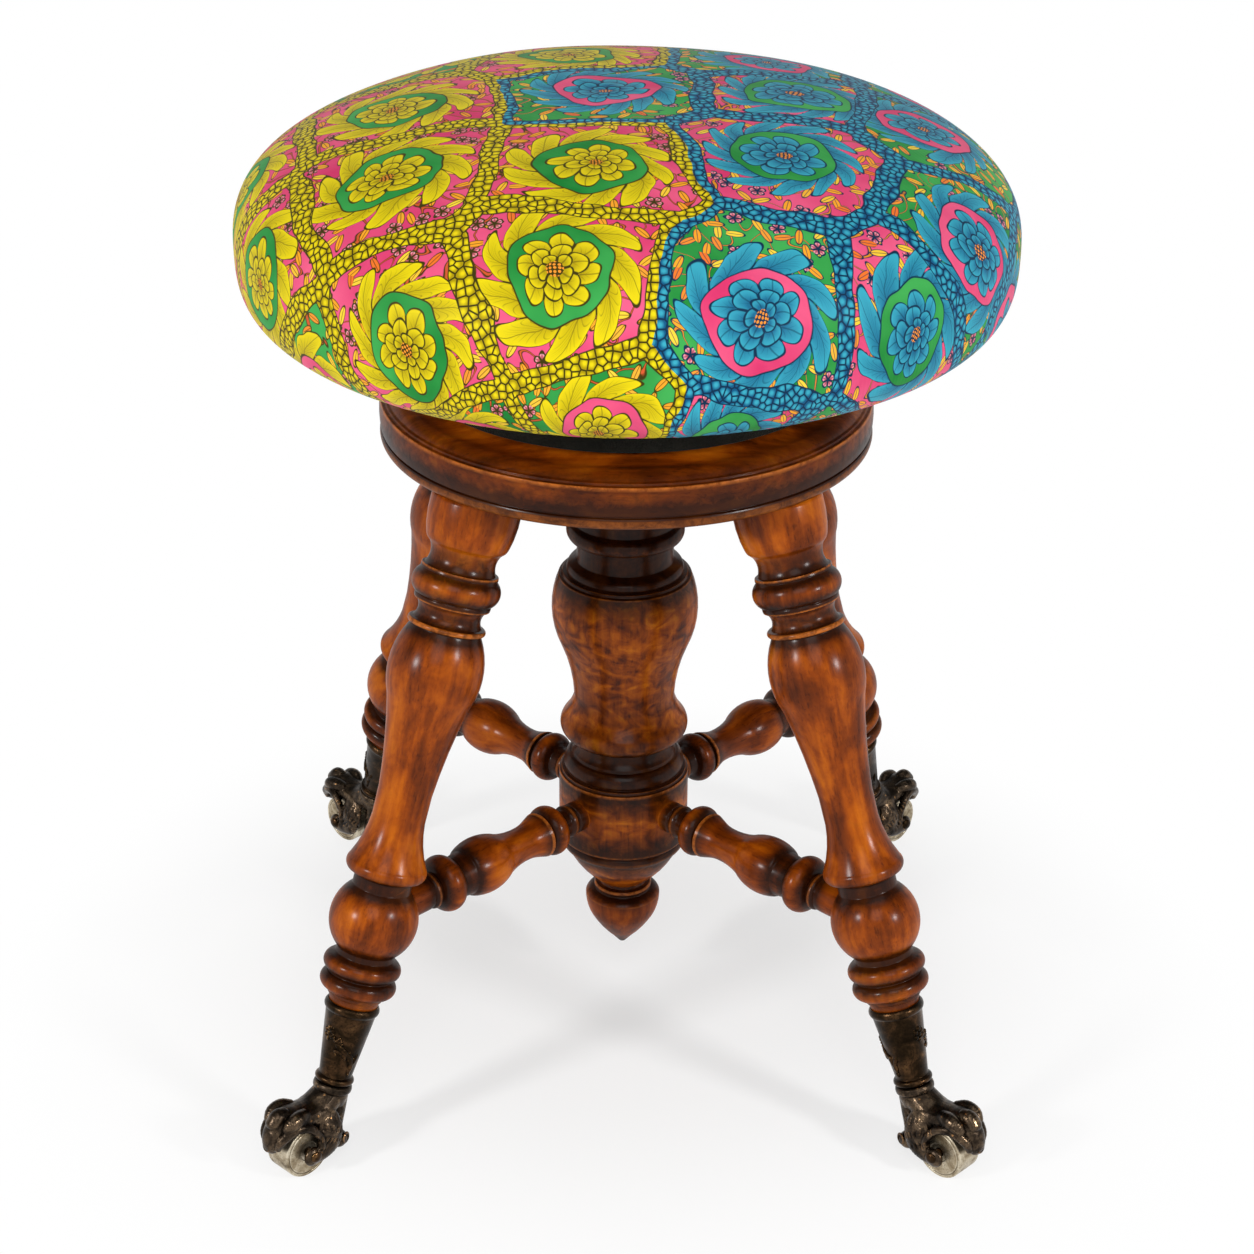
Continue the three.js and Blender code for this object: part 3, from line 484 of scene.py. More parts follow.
def petal_group():
    """A ring of outlined petals round a point, painted over what lies under it."""
    group = bpy.data.node_groups.new("petals", "ShaderNodeTree")
    for name in ("Under", "Fill", "Shade", "Line"):
        group.interface.new_socket(name, in_out="INPUT", socket_type="NodeSocketColor")
    for name in ("Distance", "Angle", "Count", "Radius", "Depth", "Twist"):
        group.interface.new_socket(name, in_out="INPUT", socket_type="NodeSocketFloat")
    group.interface.new_socket("Colour", in_out="OUTPUT", socket_type="NodeSocketColor")
    given = group.nodes.new("NodeGroupInput").outputs
    far, count, radius = given["Distance"], given["Count"], given["Radius"]
    # Where in its petal a point lies: -0.5 to 0.5 across
    bent = add(group, "Math", {0: far, 1: given["Twist"], 2: given["Angle"]}, operation="MULTIPLY_ADD")
    turns = add(group, "Math", {0: bent, 1: count}, operation="MULTIPLY")
    turns = add(group, "Math", {0: turns, 1: 2 * math.pi}, operation="DIVIDE")
    turns = add(group, "Math", {0: turns}, operation="FRACT")
    across = add(group, "Math", {0: turns, 1: 0.5}, operation="SUBTRACT")
    off = add(group, "Math", {0: across}, operation="ABSOLUTE")
    # The tip is round: the rim drops by Depth from the middle of the petal to its side
    side = add(group, "Math", {0: off, 1: 2}, operation="MULTIPLY")
    side = add(group, "Math", {0: side, 1: 2.6}, operation="POWER")
    drop = add(group, "Math", {0: side, 1: given["Depth"]}, operation="MULTIPLY")
    rim = add(group, "Math", {0: radius, 1: drop}, operation="SUBTRACT")
    inside = add(group, "Math", {0: rim, 1: far}, operation="SUBTRACT")
    # Millimetres from the petal's side
    arc = add(group, "Math", {0: far, 1: 2 * math.pi}, operation="MULTIPLY")
    arc = add(group, "Math", {0: arc, 1: count}, operation="DIVIDE")
    free = add(group, "Math", {0: 0.5, 1: off}, operation="SUBTRACT")
    gap = add(group, "Math", {0: free, 1: arc}, operation="MULTIPLY")
    middle = add(group, "Math", {0: off, 1: arc}, operation="MULTIPLY")
    rim_line = add(group, "Math", {0: inside}, operation="ABSOLUTE")
    near = add(group, "Math", {0: rim_line, 1: gap}, operation="MINIMUM")
    line = add(group, "MapRange", {0: near, 1: 0.42, 2: 0.8, 3: 1, 4: 0})
    # Engraved ribs run from the vein to the rim, 2.4 mm apart
    slant = add(group, "Math", {0: middle, 1: 1.5, 2: inside}, operation="MULTIPLY_ADD")
    ribs = add(group, "Math", {0: slant, 1: 2.4}, operation="DIVIDE")
    ribs = add(group, "Math", {0: ribs}, operation="FRACT")
    ribs = add(group, "MapRange", {0: ribs, 1: 0.06, 2: 0.22, 3: 1, 4: 0})
    deep = add(group, "MapRange", {0: inside, 1: 2.6, 2: 7, 3: 0, 4: 0.8})
    ribs = add(group, "Math", {0: ribs, 1: deep}, operation="MULTIPLY")
    vein = add(group, "MapRange", {0: middle, 1: 0.2, 2: 0.5})
    vein = add(group, "Math", {0: 1, 1: vein}, operation="SUBTRACT")
    mark = add(group, "Math", {0: vein, 1: ribs}, operation="MAXIMUM")
    mark = add(group, "Math", {0: mark, 1: 0.55}, operation="MULTIPLY")
    depth = add(group, "Math", {0: inside, 1: radius}, operation="DIVIDE")
    dusk = add(group, "MapRange", {0: depth, 1: 0.02, 2: 0.4, 3: 0, 4: 0.85})
    folded = add(group, "MapRange", {0: gap, 1: 0.4, 2: 2.6, 3: 0.55, 4: 0})
    dusk = add(group, "Math", {0: dusk, 1: folded}, operation="MAXIMUM")
    body = add(group, "Mix", {"Factor": dusk, "A": given["Fill"], "B": given["Shade"]}, data_type="RGBA")
    body = add(group, "Mix", {"Factor": mark, "A": body, "B": given["Line"]}, data_type="RGBA")
    drawn_petal = add(group, "Mix", {"Factor": line, "A": body, "B": given["Line"]}, data_type="RGBA")
    cover = add(group, "MapRange", {0: inside, 1: -0.45, 2: -0.2})
    made = add(group, "Mix", {"Factor": cover, "A": given["Under"], "B": drawn_petal}, data_type="RGBA")
    out = group.nodes.new("NodeGroupOutput")
    group.links.new(made.outputs["Result"], out.inputs["Colour"])
    return group


def printed_cotton():
    """Fine cotton, roller printed in flat bright dyes with thin dark outlines, and glazed a little.

    Rosettes stand in the cells of a pebbled trellis with small sprigs between. One side is gold
    and the other blue, on pink and green. The twill shows as a soft slanting rib, drawn at 1.4 mm,
    coarser than real thread, so that it shows.
    """
    material, tree = new_material("printed_cotton")
    petals = petal_group()
    place = add(tree, "Attribute", attribute_name="print").outputs["Vector"]
    flat = add(tree, "VectorMath", {0: place, "Scale": 1000}, operation="SCALE")
    # The drawing wanders by a few millimetres, as a hand-drawn one does
    drift = add(tree, "TexNoise", {0: flat, "Scale": 1 / 45, "Detail": 2})
    lean = add(tree, "VectorMath", {0: drift.outputs["Color"], 1: (-0.5, -0.5, -0.5)})
    lean = add(tree, "VectorMath", {0: lean, 1: (22, 22, 0)}, operation="MULTIPLY")
    moved = add(tree, "VectorMath", {0: flat, 1: lean})
    moved = add(tree, "VectorMath", {0: moved, 1: (37, 18, 0)})
    cells = {0: moved, "Scale": 1 / 92, "Randomness": 0.32}
    cell = add(tree, "TexVoronoi", cells, voronoi_dimensions="2D")
    edge = add(tree, "TexVoronoi", cells, voronoi_dimensions="2D", feature="DISTANCE_TO_EDGE")
    fence = add(tree, "Math", {0: edge, 1: 92}, operation="MULTIPLY")
    local = add(tree, "VectorMath", {0: moved, 1: cell.outputs["Position"]}, operation="SUBTRACT")
    spot = add(tree, "SeparateXYZ", {0: local})
    far = add(tree, "VectorMath", {0: local}, operation="LENGTH").outputs["Value"]
    angle = add(tree, "Math", {0: spot.outputs["Y"], 1: spot.outputs["X"]}, operation="ARCTAN2")
    chance = add(tree, "SeparateColor", {0: cell.outputs["Color"]})

    # The gold side and the blue side, by cell
    home = add(tree, "SeparateXYZ", {0: cell.outputs["Position"]}).outputs["X"]
    wobble = add(tree, "MapRange", {0: chance.outputs[0], 3: -28, 4: 28})
    home = add(tree, "Math", {0: home, 1: wobble}, operation="ADD")
    blue = add(tree, "Math", {0: home, 1: 40}, operation="GREATER_THAN")
    fill = add(tree, "Mix", {"Factor": blue, "A": "#e4d010", "B": "#38a4ba"}, data_type="RGBA")
    shade = add(tree, "Mix", {"Factor": blue, "A": "#a89204", "B": "#0d557f"}, data_type="RGBA")
    line = add(tree, "Mix", {"Factor": blue, "A": "#3b3408", "B": "#0a2c48"}, data_type="RGBA")
    swap = add(tree, "Math", {0: chance.outputs[1], 1: 0.74}, operation="GREATER_THAN")
    ground_key = add(tree, "Math", {0: blue, 1: swap}, operation="SUBTRACT")
    ground_key = add(tree, "Math", {0: ground_key}, operation="ABSOLUTE")
    wash = add(tree, "TexNoise", {0: flat, "Scale": 1 / 60, "Detail": 3})
    wash = add(tree, "MapRange", {0: wash, 1: 0.35, 2: 0.65})
    pink = add(tree, "Mix", {"Factor": wash, "A": "#d23468", "B": "#e95f86"}, data_type="RGBA")
    green = add(tree, "Mix", {"Factor": wash, "A": "#127c30", "B": "#3fa650"}, data_type="RGBA")
    ground = add(tree, "Mix", {"Factor": ground_key, "A": pink, "B": green}, data_type="RGBA")
    other = add(tree, "Mix", {"Factor": ground_key, "A": green, "B": pink}, data_type="RGBA")

    # Sprigs: in each small cell a leaf, a berry or a blossom
    small = {0: flat, "Scale": 1 / 9.5, "Randomness": 0.85}
    bud = add(tree, "TexVoronoi", small, voronoi_dimensions="2D")
    lone = add(tree, "VectorMath", {0: flat, 1: bud.outputs["Position"]}, operation="SUBTRACT")
    dice = add(tree, "SeparateColor", {0: bud.outputs["Color"]})
    turn = add(tree, "Math", {0: dice.outputs[0], 1: 2 * math.pi}, operation="MULTIPLY")
    turned_leaf = add(tree, "VectorRotate", {"Vector": lone, "Angle": turn}, rotation_type="Z_AXIS")
    leaf = add(tree, "VectorMath", {0: turned_leaf, 1: (0.55, 1.45, 0)}, operation="MULTIPLY")
    leaf_far = add(tree, "VectorMath", {0: leaf}, operation="LENGTH").outputs["Value"]
    leaf_spot = add(tree, "SeparateXYZ", {0: turned_leaf})
    leaf_in = add(tree, "Math", {0: 2.7, 1: leaf_far}, operation="SUBTRACT")
    leaf_rib = add(tree, "Math", {0: leaf_spot.outputs["Y"]}, operation="ABSOLUTE")
    lone_far = add(tree, "VectorMath", {0: lone}, operation="LENGTH").outputs["Value"]
    lone_spot = add(tree, "SeparateXYZ", {0: turned_leaf})
    lone_angle = add(tree, "Math", {0: lone_spot.outputs["Y"], 1: lone_spot.outputs["X"]}, operation="ARCTAN2")
    # Stems follow the level lines of a cloud
    wind = add(tree, "TexNoise", {0: flat, "Scale": 1 / 30, "Detail": 1.5, "Distortion": 0.4})
    stem = add(tree, "Math", {0: wind, 1: 6}, operation="MULTIPLY")
    stem = add(tree, "Math", {0: stem}, operation="FRACT")
    stem = add(tree, "Math", {0: stem, 1: 0.5}, operation="SUBTRACT")
    stem = add(tree, "Math", {0: stem}, operation="ABSOLUTE")
    stem_line = add(tree, "MapRange", {0: stem, 1: 0.05, 2: 0.075, 3: 1, 4: 0})
    stem_core = add(tree, "MapRange", {0: stem, 1: 0.02, 2: 0.035, 3: 1, 4: 0})
    leaf_tone = add(tree, "ValToRGB", {0: dice.outputs[1]}, [(0.3, "#f0a028"), (0.62, "#f3d23e"), (0.95, "#e8742a")])
    stem_tone = add(tree, "Mix", {"Factor": blue, "A": "#c9572c", "B": "#d98a1e"}, data_type="RGBA")
    painted = add(tree, "Mix", {"Factor": stem_line, "A": ground, "B": line}, data_type="RGBA")
    painted = add(tree, "Mix", {"Factor": stem_core, "A": painted, "B": stem_tone}, data_type="RGBA")
    leaf_cover = add(tree, "MapRange", {0: leaf_in, 1: -0.35, 2: -0.15})
    leaf_body = add(tree, "MapRange", {0: leaf_in, 1: 0.15, 2: 0.4})
    leaf_vein = add(tree, "MapRange", {0: leaf_rib, 1: 0.12, 2: 0.3, 3: 0.75, 4: 0})
    leaf_drawn = add(tree, "Mix", {"Factor": leaf_body, "A": line, "B": leaf_tone}, data_type="RGBA")
    leaf_drawn = add(tree, "Mix", {"Factor": leaf_vein, "A": leaf_drawn, "B": line}, data_type="RGBA")
    painted = add(tree, "Mix", {"Factor": leaf_cover, "A": painted, "B": leaf_drawn}, data_type="RGBA")
    flower = {"Under": painted, "Fill": "#f9c3cb", "Shade": "#e0566d", "Line": line}
    flower |= {"Distance": lone_far, "Angle": lone_angle, "Count": 5, "Radius": 4.2, "Depth": 1.6}
    blossom = add(tree, "Group", flower, node_tree=petals)
    bloom = add(tree, "Math", {0: dice.outputs[2], 1: 0.8}, operation="GREATER_THAN")
    under_leaf = add(tree, "Mix", {"Factor": leaf_cover, "A": painted, "B": leaf_drawn}, data_type="RGBA")
    painted = add(tree, "Mix", {"Factor": bloom, "A": under_leaf, "B": blossom}, data_type="RGBA")

    # The rosette: curling leaves, a plain disc and three rounds of petals
    vary = add(tree, "MapRange", {0: chance.outputs[2], 3: 8.6, 4: 12.4})
    count = add(tree, "Math", {0: vary}, operation="ROUND")
    inks = {"Fill": fill, "Shade": shade, "Line": line, "Distance": far, "Angle": angle}
    curl = {**inks, "Under": painted, "Count": count, "Radius": 41, "Depth": 13, "Twist": 0.034}
    painted = add(tree, "Group", curl, node_tree=petals)
    disc = add(tree, "MapRange", {0: far, 1: 25.2, 2: 25.5, 3: 1, 4: 0})
    disc_line = add(tree, "MapRange", {0: far, 1: 26, 2: 26.3, 3: 1, 4: 0})
    painted = add(tree, "Mix", {"Factor": disc_line, "A": painted, "B": line}, data_type="RGBA")
    painted = add(tree, "Mix", {"Factor": disc, "A": painted, "B": other}, data_type="RGBA")
    for petal_count, radius, depth, twist in ((8, 21, 5.5, -0.012), (6, 14.5, 4, 0.02), (5, 8.5, 2.4, -0.03)):
        layer = {**inks, "Under": painted, "Count": petal_count, "Radius": radius, "Depth": depth, "Twist": twist}
        painted = add(tree, "Group", layer, node_tree=petals)
    seeds = add(tree, "TexVoronoi", {0: local, "Scale": 1 / 1.7, "Randomness": 0.2}, voronoi_dimensions="2D")
    seed = add(tree, "MapRange", {0: seeds, 1: 0.3, 2: 0.4, 3: 0, 4: 1})
    heart = add(tree, "Mix", {"Factor": seed, "A": "#f2952c", "B": line}, data_type="RGBA")
    middle = add(tree, "MapRange", {0: far, 1: 3.4, 2: 3.7, 3: 1, 4: 0})
    painted = add(tree, "Mix", {"Factor": middle, "A": painted, "B": heart}, data_type="RGBA")

    # The pebbled ribbon between the cells
    pebble = {0: flat, "Scale": 1 / 4.3, "Randomness": 0.8}
    seam = add(tree, "TexVoronoi", pebble, voronoi_dimensions="2D", feature="DISTANCE_TO_EDGE")
    stone = add(tree, "TexVoronoi", pebble, voronoi_dimensions="2D")
    tone = add(tree, "MapRange", {0: stone, 1: 0.15, 2: 0.55})
    body = add(tree, "Mix", {"Factor": tone, "A": fill, "B": shade}, data_type="RGBA")
    crack = add(tree, "MapRange", {0: seam, 1: 0.07, 2: 0.13, 3: 1, 4: 0})
    ribbon = add(tree, "Mix", {"Factor": crack, "A": body, "B": line}, data_type="RGBA")
    band = add(tree, "MapRange", {0: fence, 1: 5.2, 2: 5.5, 3: 1, 4: 0})
    band_line = add(tree, "MapRange", {0: fence, 1: 5.9, 2: 6.2, 3: 1, 4: 0})
    painted = add(tree, "Mix", {"Factor": band_line, "A": painted, "B": line}, data_type="RGBA")
    painted = add(tree, "Mix", {"Factor": band, "A": painted, "B": ribbon}, data_type="RGBA")

    twill = add(tree, "TexWave", {0: flat, "Scale": 0.16, "Distortion": 0.6, "Detail": 1}, bands_direction="DIAGONAL")
    slack = add(tree, "TexNoise", {0: flat, "Scale": 1 / 26, "Detail": 2})
    rib = add(tree, "Bump", {"Height": twill, "Strength": 0.12, "Distance": 0.15 * MM})
    bump = add(tree, "Bump", {"Height": slack, "Strength": 0.25, "Distance": 1.2 * MM, "Normal": rib})
    inputs = {"Base Color": painted, "Roughness": 0.52, "Normal": bump, "IOR": 1.45, "Specular IOR Level": 0.1}
    shader = add(tree, "BsdfPrincipled", {**inputs, "Sheen Weight": 0.02, "Sheen Roughness": 0.5})
    add(tree, "OutputMaterial", {"Surface": shader})
    return material


WALNUT = polished_walnut(
    "polished_walnut",
    [(0.36, "#4e1e01"), (0.43, "#692b02"), (0.5, "#863a03"), (0.56, "#a04b05"), (0.64, "#ba600a")],
)
BURR_WALNUT = polished_walnut(
    "polished_burr_walnut",
    [(0.34, "#461b02"), (0.42, "#682b02"), (0.49, "#8b3f03"), (0.56, "#a65105"), (0.65, "#c46d0d")],
    1.0,
    620,
    110,
    (1.7, 1.7, 2.6),
)
BRONZE = aged_metal(
    "patinated_bronze",
    90,
    [(0.36, "#18110a"), (0.48, "#2c2014"), (0.58, "#453120"), (0.7, "#664a2e")],
    "#8d6a42",
    (0.52, 0.6),
    (0.25, 0.42),
)
IRON = aged_metal(
    "blackened_cast_iron",
    130,
    [(0.34, "#1c1712"), (0.48, "#3a3027"), (0.58, "#58493a"), (0.7, "#79644c")],
    "#b08050",
    (0.52, 0.575),
    (0.24, 0.42),
    0.12,
)
STEEL = aged_metal(
    "worn_wheel_iron",
    150,
    [(0.34, "#6b5d47"), (0.45, "#96866c"), (0.56, "#b5a78e"), (0.7, "#cbbfa8")],
    "#e2d8c2",
    (0.505, 0.53),
    (0.34, 0.5),
    0.18,
)
OLD_IRON = aged_metal(
    "oiled_iron",
    120,
    [(0.34, "#1e1b18"), (0.48, "#3a3631"), (0.58, "#524d46"), (0.7, "#6d675d")],
    "#a39c8f",
    (0.505, 0.54),
    (0.28, 0.5),
)
FELT = black_felt()
PINE = raw_pine()
PRINTED_COTTON = printed_cotton()

# Turned wood

LEG = [
    (-0.034, 0),
    (-0.034, 0.76, 0.165),
    (0.11, 0.85),
    (0.118, 0.75, -0.28),
    (0.158, 0.74),
    (0.1585, 0.8),
    (0.165, 0.81),
    (0.1655, 0.785),
    (0.17, 0.82, 0.46),
    (0.213, 0.81),
    (0.2135, 0.78),
    (0.2165, 0.8),
    (0.224, 0.79),
    (0.2245, 0.735),
    (0.227, 0.72, -0.36),
    (0.258, 0.72),
    (0.259, 0.765, 0.8),
    (0.27, 0.77),
    (0.2705, 0.74),
    (0.276, 0.765, 0.23),
    (0.41, 0.86, -0.036),
    (0.584, 0.565),
    (0.637, 0.56, -0.1),
    (0.722, 0.815, 0.4),
    (0.745, 0.79),
    (0.752, 0.62),
    (0.773, 0.62, 0.451),
    (0.897, 0.62),
    (0.908, 0.62),
    (0.911, 0.69, 0.75),
    (0.943, 0.69),
    (0.946, 0.685, 0.72),
    (0.978, 0.68),
    (0.981, 0.61),
    (0.988, 0.585),
    (0.989, 0.555),
    (1.012, 0.485),
]
STRETCHER = [
    (-0.02, 0),
    (-0.02, 0.545),
    (0.036, 0.545),
    (0.042, 0.48),
    (0.046, 0.5, 0.5),
    (0.088, 0.5),
    (0.124, 0.53),
    (0.13, 0.62, 0.75),
    (0.224, 0.62),
    (0.23, 0.81),
    (0.298, 0.63),
    (0.33, 0.6, -0.1),
    (0.47, 0.76, 0.23),
    (0.67, 0.87),
    (0.68, 0.78),
    (0.745, 0.72),
    (0.752, 0.8, 0.55),
    (0.842, 0.8),
    (0.852, 0.7),
    (0.86, 0.56, 0.6),
    (0.898, 0.56),
    (0.912, 0.6),
    (1.03, 0.59),
    (1.03, 0),
]
COLUMN = [
    (0, 0.34),
    (0.012, 0.43, 0.12),
    (0.086, 0.8),
    (0.09, 0.85, 0.35),
    (0.108, 0.85),
    (0.116, 0.903),
    (0.26, 0.903),
    (0.262, 0.87),
    (0.267, 0.87),
    (0.268, 0.82, 0.35),
    (0.298, 0.76),
    (0.299, 0.72),
    (0.305, 0.715, -0.2),
    (0.332, 0.635),
    (0.338, 0.645),
    (0.339, 0.76),
    (0.345, 0.785),
    (0.346, 0.82, 0.42),
    (0.386, 0.83, -0.12),
    (0.43, 0.69, -0.09),
    (0.55, 0.88, 0.21),
    (0.697, 0.9),
    (0.698, 0.86),
    (0.704, 0.85),
    (0.705, 0.79, 0.3),
    (0.722, 0.76),
    (0.73, 0.66),
    (0.772, 0.65),
    (0.778, 0.76, 0.4),
    (0.806, 0.76),
    (0.812, 0.7, -0.14),
    (0.94, 0.93),
    (0.95, 1.0),
    (1, 1.04),
]
FINIAL = [
    (0, 0),
    (0, 0.08),
    (0.12, 0.29, 0.07),
    (0.48, 0.84, 0.12),
    (0.78, 0.98, 0.3),
    (0.86, 0.74),
    (0.88, 0.72, 0.5),
    (0.95, 0.72),
    (0.96, 0.62),
    (1.01, 0.6),
    (1.01, 0),
]
PLATE = [
    (0, 0.985, 0.35),
    (0.183, 0.99),
    (0.19, 0.982),
    (0.215, 0.982),
    (0.222, 0.991, 0.08),
    (0.74, 0.991),
    (0.75, 0.976),
    (0.79, 0.976),
    (0.8, 0.964, 0.3),
    (0.93, 0.9, -0.15),
    (1, 0.82),
]
FERRULE = [(0, 0.86, 0.5), (0.11, 0.87), (0.14, 0.85), (0.91, 0.56), (0.92, 0.62, 0.5), (0.99, 0.62)]


def lifted(points, height):
    return [p + Vector((0, height)) for p in points]


def spots(*pairs):
    return [Vector(p) for p in pairs]


def hung(points):
    """The same outline hanging down from the origin."""
    return [Vector((p.x, -p.y)) for p in points]


# The base plate, bored for the nut and the column's tenon
rim = lifted(softened(outline(PLATE, PLATE_THICKNESS, PLATE_RADIUS)), PLATE_BOTTOM)
bored = spots(
    (NUT_FLANGE_RADIUS + GAP, PLATE_TOP),
    (NUT_FLANGE_RADIUS + GAP, PLATE_TOP - NUT_FLANGE - GAP),
    (22.3, PLATE_TOP - NUT_FLANGE - GAP),
    (22.3, PLATE_BOTTOM),
)
base_plate = finish(turned("base_plate_wood", [*rim, *bored, rim[0]], 192, grain="across", reach=13.5), WALNUT)
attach(base_plate, "base")
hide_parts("base_plate")

# The column, bored for the spindle
foot = PLATE_BOTTOM - GAP - COLUMN_LENGTH
below = lifted(softened(outline(COLUMN, COLUMN_LENGTH, COLUMN_RADIUS)), foot)
tenon = spots(
    (22, PLATE_BOTTOM - GAP),
    (22, PLATE_BOTTOM + 15.7),
    (COLUMN_BORE, PLATE_BOTTOM + 15.7),
    (COLUMN_BORE, PLATE_BOTTOM - COLUMN_BORE_DEPTH),
    (0, PLATE_BOTTOM - COLUMN_BORE_DEPTH),
)
column = finish(turned("column_wood", [Vector((0, foot)), *below, *tenon], 144, reach=15), BURR_WALNUT)
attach(column, "base")
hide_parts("column")

finial_foot = foot - GAP - FINIAL_LENGTH
onion = lifted(softened(outline(FINIAL, FINIAL_LENGTH, FINIAL_RADIUS)), finial_foot)
finial = finish(turned("finial_wood", onion), WALNUT)
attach(finial, "base")
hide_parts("finial")

# The legs: turned about their own axes, then cut level under the plate
leg_place = Matrix.Translation((LEG_CIRCLE * MM, 0, PLATE_BOTTOM * MM)) @ Matrix.Rotation(-LEG_SPLAY, 4, "Y")
spindle_of_leg = softened(outline(LEG, LEG_LENGTH, LEG_RADIUS))
leg = turned("leg_wood", hung([*spindle_of_leg, Vector((0, LEG[-1][0] * LEG_LENGTH))]))
finish(settled(leg, leg_place), WALNUT)
bpy.ops.object.mode_set(mode="EDIT")
bpy.ops.mesh.select_all(action="SELECT")
bpy.ops.mesh.bisect(
    plane_co=(0, 0, (PLATE_BOTTOM - 0.05) * MM), plane_no=(0, 0, 1), clear_outer=True, use_fill=True
)
bpy.ops.object.mode_set(mode="OBJECT")
for corner, made in round_the_stool(leg, Matrix()).items():
    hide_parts(f"leg_{corner}")

from_drum = DRUM_RADIUS + GAP
rail = softened(outline(STRETCHER, STRETCHER_REACH - from_drum, STRETCHER_RADIUS))
stretcher = finish(turned("stretcher_wood", rail, 64), WALNUT)
level = Matrix.Translation((from_drum * MM, 0, STRETCHER_HEIGHT * MM)) @ Matrix.Rotation(math.pi / 2, 4, "Y")
for corner, made in round_the_stool(stretcher, level).items():
    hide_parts(f"stretcher_{corner}")

# Ferrules

ferrule_place = leg_place @ Matrix.Translation((0, 0, -(LEG_LENGTH + GAP) * MM))
cup = softened(outline(FERRULE, FERRULE_LENGTH, FERRULE_RADIUS))
sleeve = [*spots((0, 3.5), (12.3, 3.5), (12.5, 0.5)), *cup, *spots((FERRULE_RADIUS * 0.58, FERRULE_LENGTH), (0, FERRULE_LENGTH))]
ferrule = turned("ferrule_bronze", hung(divided(sleeve, 1.2)), 128)


def cast_relief(name, motifs, cone):
    """Flat drops of metal on a tapered wall: (degrees round, mm down, tilt, half length, half width)."""
    drops = []
    for around, down, tilt, long, wide in motifs:
        bpy.ops.object.select_all(action="DESELECT")
        bpy.ops.mesh.primitive_uv_sphere_add(segments=16, ring_count=10, radius=MM, scale=(1.15, wide, long))
        drop = settled(bpy.context.active_object)
        out = Matrix.Translation((cone(down) * MM, 0, -down * MM))
        lean = Matrix.Rotation(around * DEGREE, 4, "Z") @ out @ Matrix.Rotation(tilt * DEGREE, 4, "X")
        drops.append(settled(drop, lean))
    return fused(joined(drops, name), 0.22, 2)


# A sprig runs down round the sleeve: berries, a tendril, a small leaf and a hanging leaf
berries = [(10.5 * a, 16.5 + b, 0, 1.5, 1.5) for a, b in ((0, 0), (1, -1.5), (1, 1.5), (-1, -1.4), (-1, 1.5), (0, 3), (0, -2.9))]
tendril = [(16 + 2.6 * k, 16.5 + 2 * math.sin(0.62 * k) + 0.42 * k, 0, 0.9, 0.9) for k in range(15)]
small_leaf = [(44, 23.4, 58, 4.4, 1.7), (52, 26.2, 30, 3.4, 1.5), (38, 25.4, 84, 3, 1.4)]
hanging_leaf = [(64, 26, 66, 3.8, 1.2), (74, 28.4, 30, 4.8, 1.6), (84, 31, 10, 5.2, 1.7), (94, 29, -24, 4, 1.4), (84, 36, 14, 3, 1.2)]
sprig = [*berries, *tendril, *small_leaf, *hanging_leaf]
sprig += [(around + 180, *rest) for around, *rest in sprig]
relief = cast_relief("sprig", sprig, lambda down: FERRULE_RADIUS * (0.85 - 0.29 * (down / FERRULE_LENGTH - 0.14) / 0.77) - 0.12)
modified(ferrule, "BOOLEAN", object=relief, operation="UNION", solver="EXACT")
bpy.data.objects.remove(relief)
finish(smoothed(ferrule, 40), BRONZE)
for corner, made in round_the_stool(ferrule, ferrule_place).items():
    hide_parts(f"ferrule_{corner}")

# Wheels and axles, about the Y axis


def upright(points):
    """A piece turned about Z, laid along Y at a corner's axle."""
    return Matrix.Translation((WHEEL_CIRCLE * MM, 0, AXLE_HEIGHT * MM)) @ Matrix.Rotation(math.pi / 2, 4, "X")


half_wheel = WHEEL_WIDTH / 2
wheel_face = [(2.7, -half_wheel + 0.5), (5.2, -half_wheel + 0.5), (5.5, -half_wheel + 0.1), (12.3, -half_wheel)]
wheel_face += [(12.5, -half_wheel + 0.4), (12.9, -half_wheel + 0.4), (13.1, -half_wheel), (14.2, -half_wheel)]
wheel_edge = [(WHEEL_RADIUS, -half_wheel + 0.5), (WHEEL_RADIUS, 0)]
half_section = [*wheel_face, *wheel_edge]
section = [*half_section, *((out, -along) for out, along in reversed(half_section[:-1])), half_section[0]]
wheel = finish(turned("wheel_steel", softened(spots(*section)), 72), STEEL)
for corner, made in round_the_stool(wheel, upright(0)).items():
    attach(made, f"wheel_{corner}")
    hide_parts(f"wheel_{corner}")

head_seat = TOE_MIDDLE + TOE_THICKNESS / 2 + GAP
rivet = [(0, head_seat + 1.5), (1.2, head_seat + 1.45), (2.5, head_seat + 1.0), (3.3, head_seat + 0.3), (3.4, head_seat)]
rivet += [(2.4, head_seat), (2.4, 0)]
pin = [(out, -along) for out, along in rivet] + [(out, along) for out, along in reversed(rivet[:-1])]
axle = finish(turned("axle_pin", softened(spots(*pin)), 40), BRONZE)
for corner, made in round_the_stool(axle, upright(0)).items():
    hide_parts(f"axle_{corner}")

# Paws, about the axle: X points out from the stool, Y along the axle and Z up


